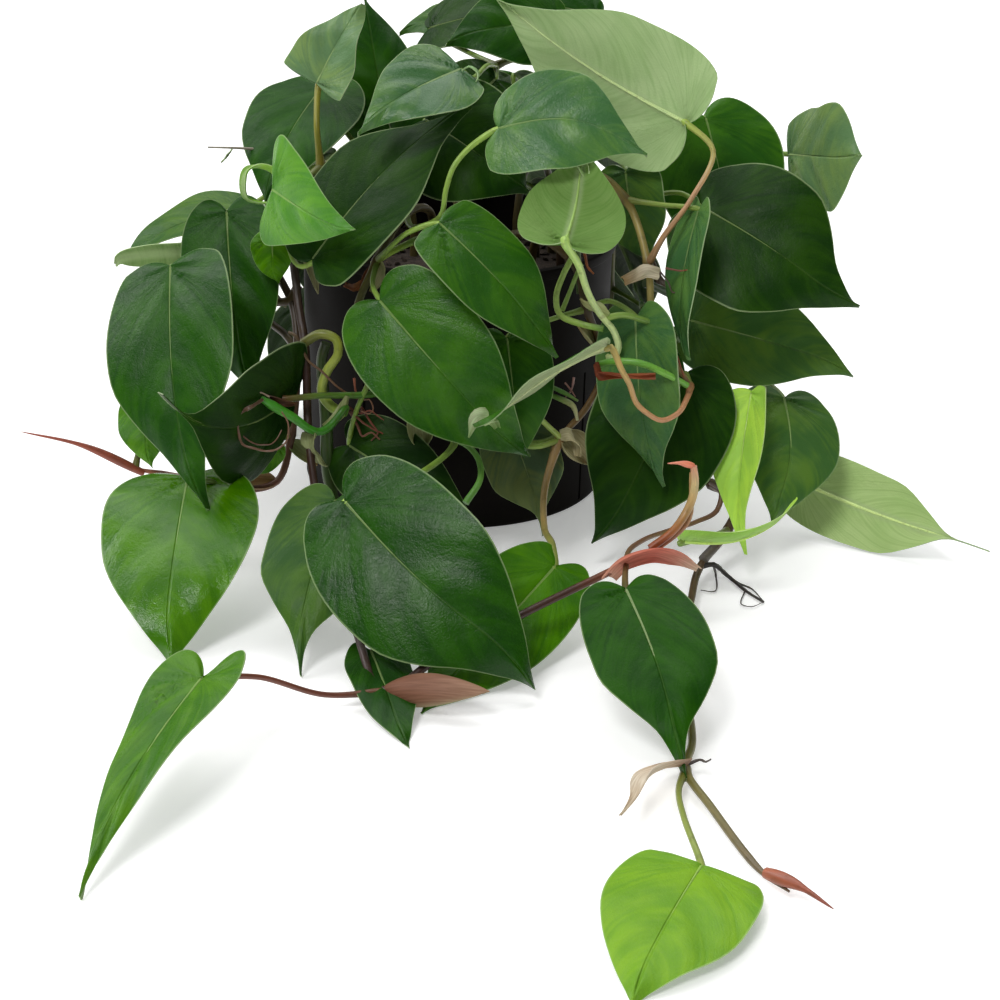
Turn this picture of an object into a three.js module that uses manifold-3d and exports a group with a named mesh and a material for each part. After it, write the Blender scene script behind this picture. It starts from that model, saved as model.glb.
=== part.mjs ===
// A potted heartleaf philodendron: a dark plastic pot filled with soil, and leafy vines that
// rise from the soil, hang over the rim and, at the front, trail along the surface below.
// Millimetres, +Z up. The origin is the centre of the pot's base, and the plant's front faces -Y.

import * as THREE from 'three';
import { mergeVertices } from 'three/addons/utils/BufferGeometryUtils.js';
import Module from 'manifold-3d';

const wasm = await Module();
wasm.setup();

// Pot
const POT_RADIUS = 75;
const POT_HEIGHT = 126;
const POT_WALL = 2.4;
const POT_FLOOR = 4;
const POT_SIDES = 30;
const RIM_LIP = 1.6;
const RIM_DEPTH = 5;
const RIM_ROUND = 1;
const FOOT_ROUND = 2;

// Soil
const SOIL_TOP = 112;
const SOIL_CROWN = 4;
const CROWN_RADIUS = 43;
const CROWN_DROP = 1;
const SOIL_GAP = 0.3;
const HOLE_GAP = 0.5;
const STEM_SINK = 18;
const STEM_RISE = 10;
const CUT_OVERRUN = 2;

// Leaves and stems
const BLADE_THICKNESS = 0.9;
const STEM_SIDES = 5;
const PETIOLE_SIDES = 4;
const PETIOLE_RADIUS = 1.5;
const STEM_RADIUS = 2.2;
const STALK_LAP = 4;
const STEPS_PER_POINT = 1.3;
const SHEATH_SIDES = 6;
const SHEATH_RINGS = 4;
const SHEATH_FLATNESS = 0.6;

// Half of the heart outline, from the notch to the tip: along the length, across the half width.
const HEART = [
  [-0.06, 0.15],
  [-0.085, 0.42],
  [-0.01, 0.76],
  [0.17, 0.98],
  [0.41, 0.98],
  [0.65, 0.75],
  [0.86, 0.27],
];

// Places where the ribs of the outline's rows start on the midrib, as shares of the length.
const RIB_SHARES = [0.03, 0.09, 0.2, 0.34, 0.5, 0.68, 0.87];

// Upright grooves in the pot's wall.
const GROOVE_TURNS = [57, 147, 237, 327];
const GROOVE_WIDTH = 1.6;
const GROOVE_DEPTH = 0.8;
const GROOVE_TOP = 69;
const GROOVE_FOOT = 3;

// The vines. A vine enters the soil at its soil point and its stem follows the route.
// A leaf has its notch (base) and tip, its width, the way its upper face looks (degrees turned to the
// right of the front, degrees raised), the fold of its halves, the bow of its midrib, the sideways
// sway of the blade, the route point (node) that its stalk grows from and the stalk's points between.
// A sheath is a papery bract round a node or a growing tip, from one point to the other.
const VINES = {
  front_vine: {
    soil: [-10, -34],
    route: [[-12, -44, 146], [-22, -72, 152], [-33, -94, 137], [-42, -104, 112], [-34, -104, 88],
      [-14, -106, 74], [3, -110, 66]],
    leaves: [
      { base: [18, -92, 197], tip: [81, -100, 187], width: 47, faces: [8, 32], fold: 4, bow: 0.05,
        sway: 0.08, node: 2, stalk: [[-14, -103, 158], [-3, -105, 174], [4, -99, 188]] },
      { base: [-4, -112, 159], tip: [47, -128, 107], width: 50, faces: [34, 22], fold: 8, bow: 0.07,
        sway: 0, node: 3, stalk: [[-28, -100, 144], [-19, -107, 154]] },
      { base: [-30, -116, 126], tip: [34, -142, 64], width: 57, faces: [-12, 25], fold: 6, bow: 0.08,
        sway: 0, node: 3, stalk: [[-34, -106, 130]] },
      { base: [-39, -190, 64], tip: [44, -238, 13], width: 63, faces: [0, 28], fold: 6, bow: 0.08,
        sway: -0.03, node: 7, stalk: [[-12, -140, 58], [-26, -172, 60]] },
      { base: [-45, -98, 51], tip: [11, -122, 27], width: 42, faces: [0, 20], fold: 8, bow: 0.05,
        sway: 0, node: 5, stalk: [[-42, -100, 68]] },
    ],
    sheaths: [],
  },
  rim_vine: {
    soil: [18, -36],
    route: [[24, -52, 138], [40, -76, 144], [54, -82, 134], [60, -88, 116], [67, -84, 98], [69, -76, 80],
      [62, -86, 68], [50, -100, 59]],
    leaves: [
      { base: [49, -123, 153], tip: [55, -92, 186], width: 48, faces: [180, -40], fold: 8, bow: 0.04,
        sway: 0, node: 4, stalk: [[61, -104, 106], [66, -118, 103], [69, -123, 114], [60, -124, 130]] },
      { base: [81, -102, 116], tip: [94, -120, 44], width: 44, faces: [-40, 18], fold: 8, bow: 0.06,
        sway: 0, node: 4, stalk: [[70, -94, 122]] },
      { base: [25, -97, 104], tip: [33, -116, 55], width: 38, faces: [0, 20], fold: 5, bow: 0.06,
        sway: 0, node: 4, stalk: [[44, -92, 112]] },
      { base: [27, -92, 60], tip: [44, -112, 19], width: 38, faces: [10, 15], fold: 5, bow: 0.05,
        sway: 0, node: 8, stalk: [[38, -97, 55]] },
      { base: [48, -174, 30], tip: [-5, -250, 3], width: 52, faces: [10, 54], fold: 4, bow: -0.04,
        sway: 0, node: 8, stalk: [[44, -114, 40], [44, -138, 31], [47, -160, 33]] },
    ],
    sheaths: [{ from: [54, -101, 60], to: [66, -100, 50], width: 10 }],
  },
  right_vine: {
    soil: [36, -22],
    route: [[46, -40, 150], [62, -60, 170], [76, -72, 162], [86, -90, 138], [90, -100, 111],
      [107, -104, 87]],
    leaves: [
      { base: [105, -72, 198], tip: [17, -35, 241], width: 66, faces: [180, 8], fold: 8, bow: 0.06,
        sway: -0.05, node: 4, stalk: [[92, -93, 152], [103, -90, 168], [112, -80, 187]] },
      { base: [69, -144, 121], tip: [19, -165, 85], width: 40, faces: [180, 60], fold: 12, bow: 0.06,
        sway: 0, node: 6, stalk: [[107, -119, 81], [96, -138, 80], [83, -147, 88], [73, -149, 102]] },
      { base: [104, -92, 164], tip: [102, -108, 100], width: 44, faces: [-70, 12], fold: 10, bow: 0.06,
        sway: 0, node: 3, stalk: [[90, -82, 163]] },
      { base: [106, -86, 86], tip: [70, -118, 13], width: 66, faces: [0, 20], fold: 5, bow: 0.06,
        sway: 0, node: 6, stalk: [] },
    ],
    sheaths: [{ from: [88, -92, 136], to: [70, -95, 138], width: 9 }],
  },
  right_trailing_vine: {
    soil: [50, 0],
    route: [[62, -10, 148], [82, -34, 140], [95, -52, 119], [106, -32, 110], [126, -20, 94],
      [148, -42, 68], [144, -48, 48], [132, -52, 36], [122, -66, 31], [122, -84, 31], [132, -97, 30],
      [128, -110, 20], [115, -126, 9], [109, -152, 5], [101, -210, 4], [100, -271, 4], [96, -291, 4],
      [103, -315, 4], [117, -355, 4], [125, -366, 4]],
    leaves: [
      { base: [111, -66, 158], tip: [176, -92, 116], width: 58, faces: [12, 28], fold: 5, bow: 0.08,
        sway: 0, node: 2, stalk: [[90, -50, 158], [102, -58, 162]] },
      { base: [111, -48, 99], tip: [186, -70, 86], width: 45, faces: [0, 26], fold: 6, bow: 0.04,
        sway: 0, node: 4, stalk: [] },
      { base: [140, -83, 75], tip: [136, -126, 15], width: 38, faces: [-42, 20], fold: 24, bow: 0.04,
        sway: 0, node: 6, stalk: [[147, -56, 69], [143, -74, 72]] },
      { base: [157, -62, 61], tip: [139, -108, 23], width: 46, faces: [2, 12], fold: 5, bow: 0.05,
        sway: 0.08, node: 6, stalk: [[154, -50, 66]] },
      { base: [168, -58, 29], tip: [249, -115, 16], width: 48, faces: [180, 20], fold: 6, bow: 0.05,
        sway: 0, node: 8, stalk: [[150, -58, 34]] },
      { base: [106, -150, 33], tip: [156, -132, 35], width: 30, faces: [180, 60], fold: 6, bow: 0.05,
        sway: 0, node: 12, stalk: [[118, -134, 28]] },
      { base: [77, -222, 46], tip: [93, -292, 4], width: 52, faces: [0, 45], fold: 6, bow: 0.06,
        sway: 0, node: 10, stalk: [[121, -112, 38], [110, -137, 53], [94, -160, 57], [82, -190, 53],
          [76, -208, 50]] },
      { base: [96, -358, 8], tip: [68, -423, 3], width: 53, faces: [0, 85], fold: 4, bow: 0.04,
        sway: 0, node: 17, stalk: [[92, -308, 6], [92, -331, 9]] },
    ],
    sheaths: [{ from: [94, -290, 6], to: [68, -334, 12], width: 12 },
      { from: [118, -357, 5], to: [136, -378, 6], width: 7 }],
  },
  left_trailing_vine: {
    soil: [-42, -22],
    route: [[-54, -36, 142], [-72, -58, 138], [-70, -78, 116], [-65, -94, 96], [-62, -112, 60],
      [-50, -160, 28], [-34, -205, 14], [-19, -241, 5], [0, -232, 15], [18, -222, 20], [34, -212, 26],
      [71, -195, 39], [89, -187, 46], [102, -181, 57], [102, -177, 76]],
    leaves: [
      { base: [-81, -285, 38], tip: [-111, -376, 4], width: 54, faces: [-72, 46], fold: 6, bow: 0.05,
        sway: 0, node: 8, stalk: [[-42, -250, 8], [-66, -266, 24]] },
      { base: [-46, -160, 51], tip: [-60, -223, 4], width: 48, faces: [-15, 25], fold: 6, bow: 0.06,
        sway: 0, node: 6, stalk: [] },
      { base: [-22, -242, 12], tip: [-9, -280, 4], width: 22, faces: [-40, 50], fold: 5, bow: 0.03,
        sway: 0, node: 8, stalk: [] },
    ],
    sheaths: [{ from: [68, -197, 37], to: [100, -183, 43], width: 10 },
      { from: [-19, -242, 6], to: [20, -254, 14], width: 10 }],
  },
  left_vine: {
    soil: [-40, 4],
    route: [[-54, -6, 148], [-78, -34, 146], [-84, -54, 126], [-73, -68, 106], [-70, -84, 80],
      [-72, -94, 54], [-78, -102, 34], [-96, -108, 32], [-113, -102, 33], [-142, -104, 39]],
    leaves: [
      { base: [-125, -84, 126], tip: [-114, -128, 31], width: 62, faces: [-18, 15], fold: 6, bow: 0.07,
        sway: 0, node: 3, stalk: [[-104, -44, 128], [-126, -55, 132], [-130, -74, 132]] },
      { base: [-106, -50, 144], tip: [-93, -86, 75], width: 41, faces: [-8, 22], fold: 6, bow: 0.07,
        sway: 0, node: 2, stalk: [[-92, -48, 150]] },
      { base: [-71, -102, 74], tip: [-120, -144, 80], width: 60, faces: [-15, 10], fold: 4, bow: 0.05,
        sway: 0.12, node: 5, stalk: [] },
      { base: [-112, -146, 54], tip: [-111, -220, 4], width: 68, faces: [0, 30], fold: 5, bow: 0.06,
        sway: 0, node: 8, stalk: [[-97, -124, 38], [-103, -138, 49]] },
      { base: [-137, -92, 69], tip: [-135, -112, 44], width: 28, faces: [-10, 20], fold: 5, bow: 0.05,
        sway: 0, node: 10, stalk: [] },
      { base: [-78, -103, 53], tip: [-93, -106, 38], width: 16, faces: [10, 10], fold: 5, bow: 0.05,
        sway: 0, node: 6, stalk: [] },
    ],
    sheaths: [{ from: [-140, -104, 38], to: [-191, -110, 58], width: 6 },
      { from: [-74, -100, 31], to: [-104, -106, 34], width: 9 }],
  },
  top_left_vine: {
    soil: [-22, 8],
    route: [[-28, 2, 150], [-44, -20, 166], [-62, -46, 166], [-72, -62, 158], [-76, -74, 148]],
    leaves: [
      { base: [-79, -88, 166], tip: [-43, -125, 159], width: 52, faces: [-50, 8], fold: 5, bow: 0.03,
        sway: 0, node: 5, stalk: [[-80, -82, 158]] },
      { base: [-61, -96, 136], tip: [5, -66, 202], width: 60, faces: [-35, 42], fold: 8, bow: 0.07,
        sway: 0.04, node: 5, stalk: [[-70, -88, 138]] },
      { base: [-64, -30, 201], tip: [-62, 20, 210], width: 54, faces: [-78, 56], fold: 20, bow: 0.04,
        sway: 0, node: 3, stalk: [[-64, -42, 184]] },
      { base: [-68, 6, 184], tip: [-91, -38, 147], width: 50, faces: [-30, 30], fold: 6, bow: 0.07,
        sway: 0, node: 2, stalk: [[-57, -10, 179]] },
      { base: [-103, -12, 139], tip: [-160, -32, 114], width: 40, faces: [178, 74], fold: 8, bow: 0.06,
        sway: 0, node: 2, stalk: [[-72, -10, 156]] },
      { base: [-81, -76, 142], tip: [-80, -80, 121], width: 18, faces: [-10, 20], fold: 5, bow: 0.04,
        sway: 0, node: 5, stalk: [] },
    ],
    sheaths: [],
  },
  top_vine: {
    soil: [0, 6],
    route: [[-2, 6, 150], [-2, 2, 178], [6, -8, 198], [16, -14, 208], [36, 2, 212]],
    leaves: [
      { base: [8, -64, 217], tip: [-40, -95, 197], width: 44, faces: [0, 45], fold: 8, bow: 0.06,
        sway: 0, node: 4, stalk: [[18, -42, 216]] },
      { base: [-32, 4, 167], tip: [-46, 14, 232], width: 44, faces: [-20, 20], fold: 8, bow: 0.05,
        sway: 0, node: 2, stalk: [[-20, 0, 166]] },
      { base: [5, 38, 218], tip: [-31, 28, 217], width: 26, faces: [0, 60], fold: 6, bow: 0.05,
        sway: 0, node: 5, stalk: [[22, 28, 216]] },
      { base: [-16, 24, 218], tip: [31, 8, 229], width: 44, faces: [0, 62], fold: 6, bow: 0.05,
        sway: 0, node: 4, stalk: [] },
      { base: [45, -4, 227], tip: [-6, -28, 223], width: 42, faces: [10, 40], fold: 6, bow: 0.05,
        sway: 0, node: 5, stalk: [] },
      { base: [16, -30, 205], tip: [-8, -44, 180], width: 38, faces: [0, 30], fold: 6, bow: 0.05,
        sway: 0, node: 4, stalk: [] },
      { base: [63, 30, 225], tip: [27, 28, 230], width: 28, faces: [0, 50], fold: 6, bow: 0.05,
        sway: 0, node: 5, stalk: [] },
      { base: [-12, -54, 191], tip: [32, -74, 165], width: 50, faces: [0, 40], fold: 6, bow: 0.05,
        sway: 0, node: 2, stalk: [[-8, -24, 178], [-12, -46, 187]] },
    ],
    sheaths: [],
  },
  top_right_vine: {
    soil: [38, 14],
    route: [[54, 12, 150], [78, 2, 172], [98, -6, 180], [122, -6, 174]],
    leaves: [
      { base: [114, -20, 188], tip: [132, -45, 116], width: 66, faces: [18, 22], fold: 6, bow: 0.06,
        sway: 0, node: 3, stalk: [] },
      { base: [158, 6, 167], tip: [184, -42, 155], width: 48, faces: [-60, 17], fold: 4, bow: 0.03,
        sway: 0, node: 4, stalk: [[142, 2, 168]] },
      { base: [76, -54, 170], tip: [86, -64, 130], width: 38, faces: [-40, 20], fold: 6, bow: 0.04,
        sway: 0, node: 2, stalk: [[72, -28, 172]] },
    ],
    sheaths: [],
  },
};

// Vines that hang over the back of the rim: the way each one hangs, in degrees from the front, how far
// it drops below the table's heights, the size of its leaves and the first leaf that it bears.
const BACK_VINES = {
  right_side_vine: { turn: 118, drop: 3, size: 0.98, firstLeaf: 0 },
  right_back_vine: { turn: 147, drop: -5, size: 0.88, firstLeaf: 0 },
  back_vine: { turn: 178, drop: 7, size: 1, firstLeaf: 0 },
  left_back_vine: { turn: 210, drop: -3, size: 0.93, firstLeaf: 0 },
  left_side_vine: { turn: 242, drop: 10, size: 0.96, firstLeaf: 1 },
};

// Where a back vine grows from and its stem's route, as distance from the axis and height.
const BACK_SOIL_OUT = 52;
const BACK_ROUTE = [[60, 146], [76, 144], [86, 120], [88, 86], [88, 56], [92, 34]];
const BACK_WIDTH_SHARE = 0.7;
const BACK_FOLD = 5;
const BACK_BOW = 0.06;
// Leaves of a back vine: turn aside, distance from the axis, height, lean outward, length.
const BACK_LEAVES = [
  { aside: 13, out: 72, height: 184, lean: 52, length: 60, node: 1 },
  { aside: -14, out: 88, height: 158, lean: 44, length: 74, node: 2 },
  { aside: 12, out: 96, height: 122, lean: 26, length: 76, node: 3 },
  { aside: -12, out: 99, height: 84, lean: 22, length: 72, node: 4 },
  { aside: 2, out: 97, height: 56, lean: 36, length: 56, node: 5 },
];

const DEGREE = Math.PI / 180;
const UP = new THREE.Vector3(0, 1, 0);

function vector(point) {
  return new THREE.Vector3(...point);
}

function facing([turn, rise]) {
  const level = Math.cos(rise * DEGREE);
  return new THREE.Vector3(
    Math.sin(turn * DEGREE) * level,
    -Math.cos(turn * DEGREE) * level,
    Math.sin(rise * DEGREE),
  );
}

function solid(geometry) {
  const bare = geometry.clone();
  bare.deleteAttribute('normal');
  bare.deleteAttribute('uv');
  const merged = mergeVertices(bare, 1e-4);
  const mesh = new wasm.Mesh({
    numProp: 3,
    vertProperties: new Float32Array(merged.attributes.position.array),
    triVerts: new Uint32Array(merged.index.array),
  });
  return new wasm.Manifold(mesh);
}

function geometryOf(manifold) {
  const mesh = manifold.getMesh();
  const geometry = new THREE.BufferGeometry();
  geometry.setAttribute('position', new THREE.BufferAttribute(new Float32Array(mesh.vertProperties), 3));
  geometry.setIndex(new THREE.BufferAttribute(new Uint32Array(mesh.triVerts), 1));
  geometry.computeVertexNormals();
  return geometry;
}

// A tube of few sides along a curve through the points.
function tube(points, radius, sides, steps) {
  const section = new THREE.Shape();
  for (let i = 0; i < sides; i += 1) {
    const angle = (i / sides) * 2 * Math.PI;
    const x = radius * Math.cos(angle);
    const y = radius * Math.sin(angle);
    if (i === 0) section.moveTo(x, y);
    else section.lineTo(x, y);
  }
  section.closePath();
  return new THREE.ExtrudeGeometry(section, {
    steps,
    extrudePath: curveThrough(points),
    bevelEnabled: false,
  });
}

// A heart-shaped blade: the outline lies round the midrib from the notch to the tip, the halves are
// folded along it, and both faces are split into triangles alike.
function blade({ base, tip, width, faces, fold, bow, sway }) {
  const start = vector(base);
  const chord = vector(tip).sub(start);
  const length = chord.length();
  const along = chord.clone().normalize();
  const up = facing(faces);
  up.addScaledVector(along, -up.dot(along)).normalize();
  const across = new THREE.Vector3().crossVectors(up, along);
  const slope = Math.tan(fold * DEGREE);

  const place = (share, side, offset) => {
    const swell = length * Math.sin(Math.PI * share);
    const height = bow * swell + Math.abs(side) * slope;
    const steepAlong = bow * Math.PI * Math.cos(Math.PI * share);
    const steepAcross = Math.sign(side) * slope;
    const normal = up.clone().addScaledVector(along, -steepAlong);
    normal.addScaledVector(across, -steepAcross).normalize();
    return start.clone()
      .addScaledVector(along, share * length)
      .addScaledVector(across, side + sway * swell)
      .addScaledVector(up, height)
      .addScaledVector(normal, offset);
  };

  const rows = HEART.length;
  const positions = [];
  for (const offset of [BLADE_THICKNESS / 2, -BLADE_THICKNESS / 2]) {
    positions.push(place(0, 0, offset));
    for (let i = 0; i < rows; i += 1) {
      const [share, reach] = HEART[i];
      positions.push(place(RIB_SHARES[i], 0, offset));
      positions.push(place(share, (reach * width) / 2, offset));
      positions.push(place(share, (-reach * width) / 2, offset));
    }
    positions.push(place(1, 0, offset));
  }
  const tipIndex = 3 * rows + 1;
  const rib = (i) => (i < 0 ? 0 : i >= rows ? tipIndex : 3 * i + 1);
  const edge = (i, half) => (i < 0 ? 0 : i >= rows ? tipIndex : 3 * i + 2 + half);
  const under = tipIndex + 1;

  const triangles = [];
  const face = (a, b, c, half) => {
    if (a === b || b === c || a === c) return;
    const [p, q, r] = half === 0 ? [a, b, c] : [a, c, b];
    triangles.push(p, q, r);
    triangles.push(p + under, r + under, q + under);
  };
  for (const half of [0, 1]) {
    for (let i = -1; i < rows; i += 1) {
      face(rib(i), rib(i + 1), edge(i + 1, half), half);
      face(rib(i), edge(i + 1, half), edge(i, half), half);
      const [a, b] = half === 0 ? [edge(i, half), edge(i + 1, half)] : [edge(i + 1, half), edge(i, half)];
      triangles.push(a, b, b + under);
      triangles.push(a, b + under, a + under);
    }
  }
  const geometry = new THREE.BufferGeometry();
  const flat = positions.flatMap((p) => [p.x, p.y, p.z]);
  geometry.setAttribute('position', new THREE.Float32BufferAttribute(flat, 3));
  geometry.setIndex(triangles);
  return geometry;
}

function vineRoute({ soil, route }) {
  const [x, y] = soil;
  const foot = [SOIL_TOP - STEM_SINK, SOIL_TOP, SOIL_TOP + STEM_RISE].map((z) => [x, y, z]);
  return [...foot, ...route];
}

function curveThrough(points) {
  return new THREE.CatmullRomCurve3(points, false, 'centripetal');
}

function stemSteps(route) {
  return Math.round(STEPS_PER_POINT * route.length);
}

function stemTube(description) {
  const route = vineRoute(description).map(vector);
  return tube(route, STEM_RADIUS, STEM_SIDES, stemSteps(route));
}

// The place on the stem's centre line that lies nearest to a point.
function onStem(description, point) {
  const route = vineRoute(description).map(vector);
  const line = curveThrough(route).getSpacedPoints(stemSteps(route));
  let nearest = line[0];
  for (let i = 1; i < line.length; i += 1) {
    const stretch = new THREE.Line3(line[i - 1], line[i]);
    const spot = stretch.closestPointToPoint(point, true, new THREE.Vector3());
    if (spot.distanceTo(point) < nearest.distanceTo(point)) nearest = spot;
  }
  return nearest;
}

// The stalk of a leaf, from its node on the stem to a little way under the blade.
function stalkTube(description, { node, stalk, base, tip }) {
  const root = onStem(description, vector(description.route[node - 1]));
  const end = vector(base);
  const inward = vector(tip).sub(end).normalize();
  const points = [root, ...stalk.map(vector), end, end.clone().addScaledVector(inward, STALK_LAP)];
  return tube(points, PETIOLE_RADIUS, PETIOLE_SIDES, points.length);
}

// A slim spindle from the stem to a point.
function spindle(description, { from, to, width }) {
  const start = onStem(description, vector(from));
  const span = vector(to).sub(start);
  const length = span.length();
  const shape = new THREE.SphereGeometry(0.5, SHEATH_SIDES, SHEATH_RINGS);
  shape.scale(width, length, width * SHEATH_FLATNESS);
  shape.applyQuaternion(new THREE.Quaternion().setFromUnitVectors(UP, span.clone().normalize()));
  shape.translate(start.x + span.x / 2, start.y + span.y / 2, start.z + span.z / 2);
  return shape;
}

// One leafy stem: the stem, and each leaf on its stalk.
function vine(description) {
  let whole = solid(stemTube(description));
  for (const leaf of description.leaves) {
    whole = whole.add(solid(stalkTube(description, leaf))).add(solid(blade(leaf)));
  }
  for (const sheath of description.sheaths) whole = whole.add(solid(spindle(description, sheath)));
  return whole;
}

// A vine that hangs over the back of the rim, its leaves on alternate sides.
function hangingVine({ turn, drop, size, firstLeaf }) {
  const spot = (aside, out, height) => {
    const way = facing([turn + aside, 0]);
    return [way.x * out, way.y * out, height];
  };
  const soil = spot(0, BACK_SOIL_OUT, 0).slice(0, 2);
  const route = BACK_ROUTE.map(([out, height]) => spot(0, out, height));
  const leaves = BACK_LEAVES.slice(firstLeaf).map(({ aside, out, height, lean, length, node }) => {
    const reach = size * length * Math.sin(lean * DEGREE);
    const fall = size * length * Math.cos(lean * DEGREE);
    return {
      base: spot(aside, out, height - drop),
      tip: spot(aside, out + reach, height - drop - fall),
      width: size * length * BACK_WIDTH_SHARE,
      faces: [turn + aside, lean],
      fold: BACK_FOLD,
      bow: BACK_BOW,
      sway: 0,
      node,
      stalk: [],
    };
  });
  return { soil, route, leaves, sheaths: [] };
}

const vines = { ...VINES };
for (const [name, way] of Object.entries(BACK_VINES)) vines[name] = hangingVine(way);

function pot() {
  const wall = POT_RADIUS - POT_WALL;
  const lip = POT_RADIUS + RIM_LIP;
  const rimFoot = POT_HEIGHT - RIM_DEPTH;
  const outline = [[0, 0], [POT_RADIUS - FOOT_ROUND, 0], [POT_RADIUS, FOOT_ROUND], [POT_RADIUS, rimFoot],
    [lip, rimFoot + RIM_ROUND], [lip, POT_HEIGHT - RIM_ROUND], [lip - RIM_ROUND, POT_HEIGHT],
    [wall, POT_HEIGHT], [wall, POT_FLOOR], [0, POT_FLOOR]];
  const profile = outline.map(([r, z]) => new THREE.Vector2(r, z));
  const lathe = new THREE.LatheGeometry(profile, POT_SIDES);
  lathe.rotateX(Math.PI / 2);
  let body = solid(lathe);
  for (const turn of GROOVE_TURNS) {
    const cutter = new THREE.BoxGeometry(GROOVE_WIDTH, 2 * GROOVE_DEPTH, GROOVE_TOP - GROOVE_FOOT);
    cutter.translate(0, -POT_RADIUS, (GROOVE_TOP + GROOVE_FOOT) / 2);
    cutter.rotateZ(turn * DEGREE);
    body = body.subtract(solid(cutter));
  }
  return body;
}

function soil() {
  const radius = POT_RADIUS - POT_WALL - SOIL_GAP;
  const bottom = POT_FLOOR + SOIL_GAP;
  const outline = [[0, bottom], [radius, bottom], [radius, SOIL_TOP - SOIL_CROWN],
    [CROWN_RADIUS, SOIL_TOP - CROWN_DROP], [0, SOIL_TOP]];
  const profile = outline.map(([r, z]) => new THREE.Vector2(r, z));
  const lathe = new THREE.LatheGeometry(profile, POT_SIDES);
  lathe.rotateX(Math.PI / 2);
  let body = solid(lathe);
  const foot = SOIL_TOP - STEM_SINK - HOLE_GAP;
  for (const { soil: [x, y] } of Object.values(vines)) {
    const height = SOIL_TOP + CUT_OVERRUN - foot;
    const radiusOfHole = STEM_RADIUS + HOLE_GAP;
    const hole = new THREE.CylinderGeometry(radiusOfHole, radiusOfHole, height, STEM_SIDES);
    hole.rotateX(Math.PI / 2);
    hole.translate(x, y, foot + height / 2);
    body = body.subtract(solid(hole));
  }
  return body;
}

function piece(name, manifold, colour, roughness) {
  const material = new THREE.MeshStandardMaterial({ color: colour, roughness, metalness: 0 });
  const mesh = new THREE.Mesh(geometryOf(manifold), material);
  mesh.name = name;
  return mesh;
}

const plant = new THREE.Group();
plant.add(piece('pot', pot(), 0x2a2725, 0.45));
plant.add(piece('soil', soil(), 0x2b1d14, 0.95));
for (const [name, description] of Object.entries(vines)) {
  plant.add(piece(name, vine(description), 0x2f5a22, 0.4));
}

export default plant;
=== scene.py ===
"""Looks of a potted heartleaf philodendron, built round its solid model.

Lengths in the tables are millimetres in the part's own frame: +Z up, the origin at the centre of
the pot's base, and the plant's front towards -Y.
"""

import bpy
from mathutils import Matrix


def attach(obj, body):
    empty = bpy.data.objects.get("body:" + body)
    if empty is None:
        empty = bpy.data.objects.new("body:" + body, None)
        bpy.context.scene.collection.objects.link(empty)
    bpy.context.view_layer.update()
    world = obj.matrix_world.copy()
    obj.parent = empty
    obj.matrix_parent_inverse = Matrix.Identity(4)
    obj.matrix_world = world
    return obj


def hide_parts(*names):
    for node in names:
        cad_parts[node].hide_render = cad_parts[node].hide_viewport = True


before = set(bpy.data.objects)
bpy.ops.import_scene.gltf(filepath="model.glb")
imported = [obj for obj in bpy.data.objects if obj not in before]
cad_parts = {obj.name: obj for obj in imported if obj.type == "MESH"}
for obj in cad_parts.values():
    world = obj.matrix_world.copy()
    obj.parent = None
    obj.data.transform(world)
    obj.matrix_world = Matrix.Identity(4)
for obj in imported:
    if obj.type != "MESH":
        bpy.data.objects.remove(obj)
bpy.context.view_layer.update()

import math
import random

import bmesh
import bpy
from bpy.props import FloatProperty, FloatVectorProperty, IntProperty, PointerProperty
from mathutils import Matrix, Vector

bl_info = {
    "name": "Potted heartleaf philodendron",
    "version": (1, 0, 0),
    "blender": (4, 5, 0),
    "location": "View3D > Sidebar > Philodendron",
    "description": "Leaves, vines, pot and soil of a potted heartleaf philodendron",
    "category": "Add Mesh",
}

MM = 0.001
FLOOR_CLEARANCE = 0.0003

# Thickness of dry sheaths and of narrow strips, in metres
SHEATH_THICKNESS = 0.00035
STRIP_THICKNESS = 0.0004

# Millimetres between the points of each kind of line
STEM_STEP = 3.0
STALK_STEP = 2.5
SHOOT_STEP = 2.0
STRIP_STEP = 1.5
ROOT_STEP = 1.4
TIP_STEP = 1.2

# Heights at which a stem stands upright in the soil
STEM_FOOT = (94, 112, 122)
# Reach of the swelling at a stem's node
NODE_REACH = 3.2
# The midrib under a blade: its rings, and the share of the blade that it runs along
RIB_RINGS = 14
RIB_REACH = 0.93
# Points round a curled root's full ring
RING_POINTS = 12

# Tones that the vines share where a table gives none
STEM_TONES = ["#3f3422", "#4a4a26", "#5f6a2c"]
STALK_TONES = ["#5f7a30", "#6f8f38"]
ROOT_TONES = ["#4a2c1e", "#8a4a3a"]
SHEATH_TONE = "#cfc39a"
SHEATH_TIP_TONE = "#b08a5a"
SCAR_TONE = "#3a2616"
STALK_FOOT_TONE = "#5a4a26"
RIB_TONE = "#93ab68"

# Random seeds: the step from one vine to the next, the first of the back vines, and where each kind of
# small part starts within a vine's own
VINE_SEEDS = 100
BACK_SEED = 2000
SHEATH_SEED = 50
STRIP_SEED = 60
CURLED_SEED = 65
ROOT_SEED = 70

# The pot's grooves, in degrees to the right of the front, and half the width of one in degrees
GROOVE_TURNS = (57, 147, 237, 327)
GROOVE_HALF_WIDTH = 0.63
POT_SIDES = 288
POT_FLOOR = 0.004

# The soil: its gap to the wall, its underside, and its columns round and rows across
SOIL_GAP = 0.0003
SOIL_UNDERSIDE = 0.0043
SOIL_COLUMNS = 96
SOIL_ROWS = 44

# Camera, at the photograph's viewing angle
CAMERA_PLACE = (0.024, -0.900, 0.380)
CAMERA_PITCH = 23.8
CAMERA_ROLL = 1.7
CAMERA_LENS = 68.65
CAMERA_SENSOR = 36.0

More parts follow.
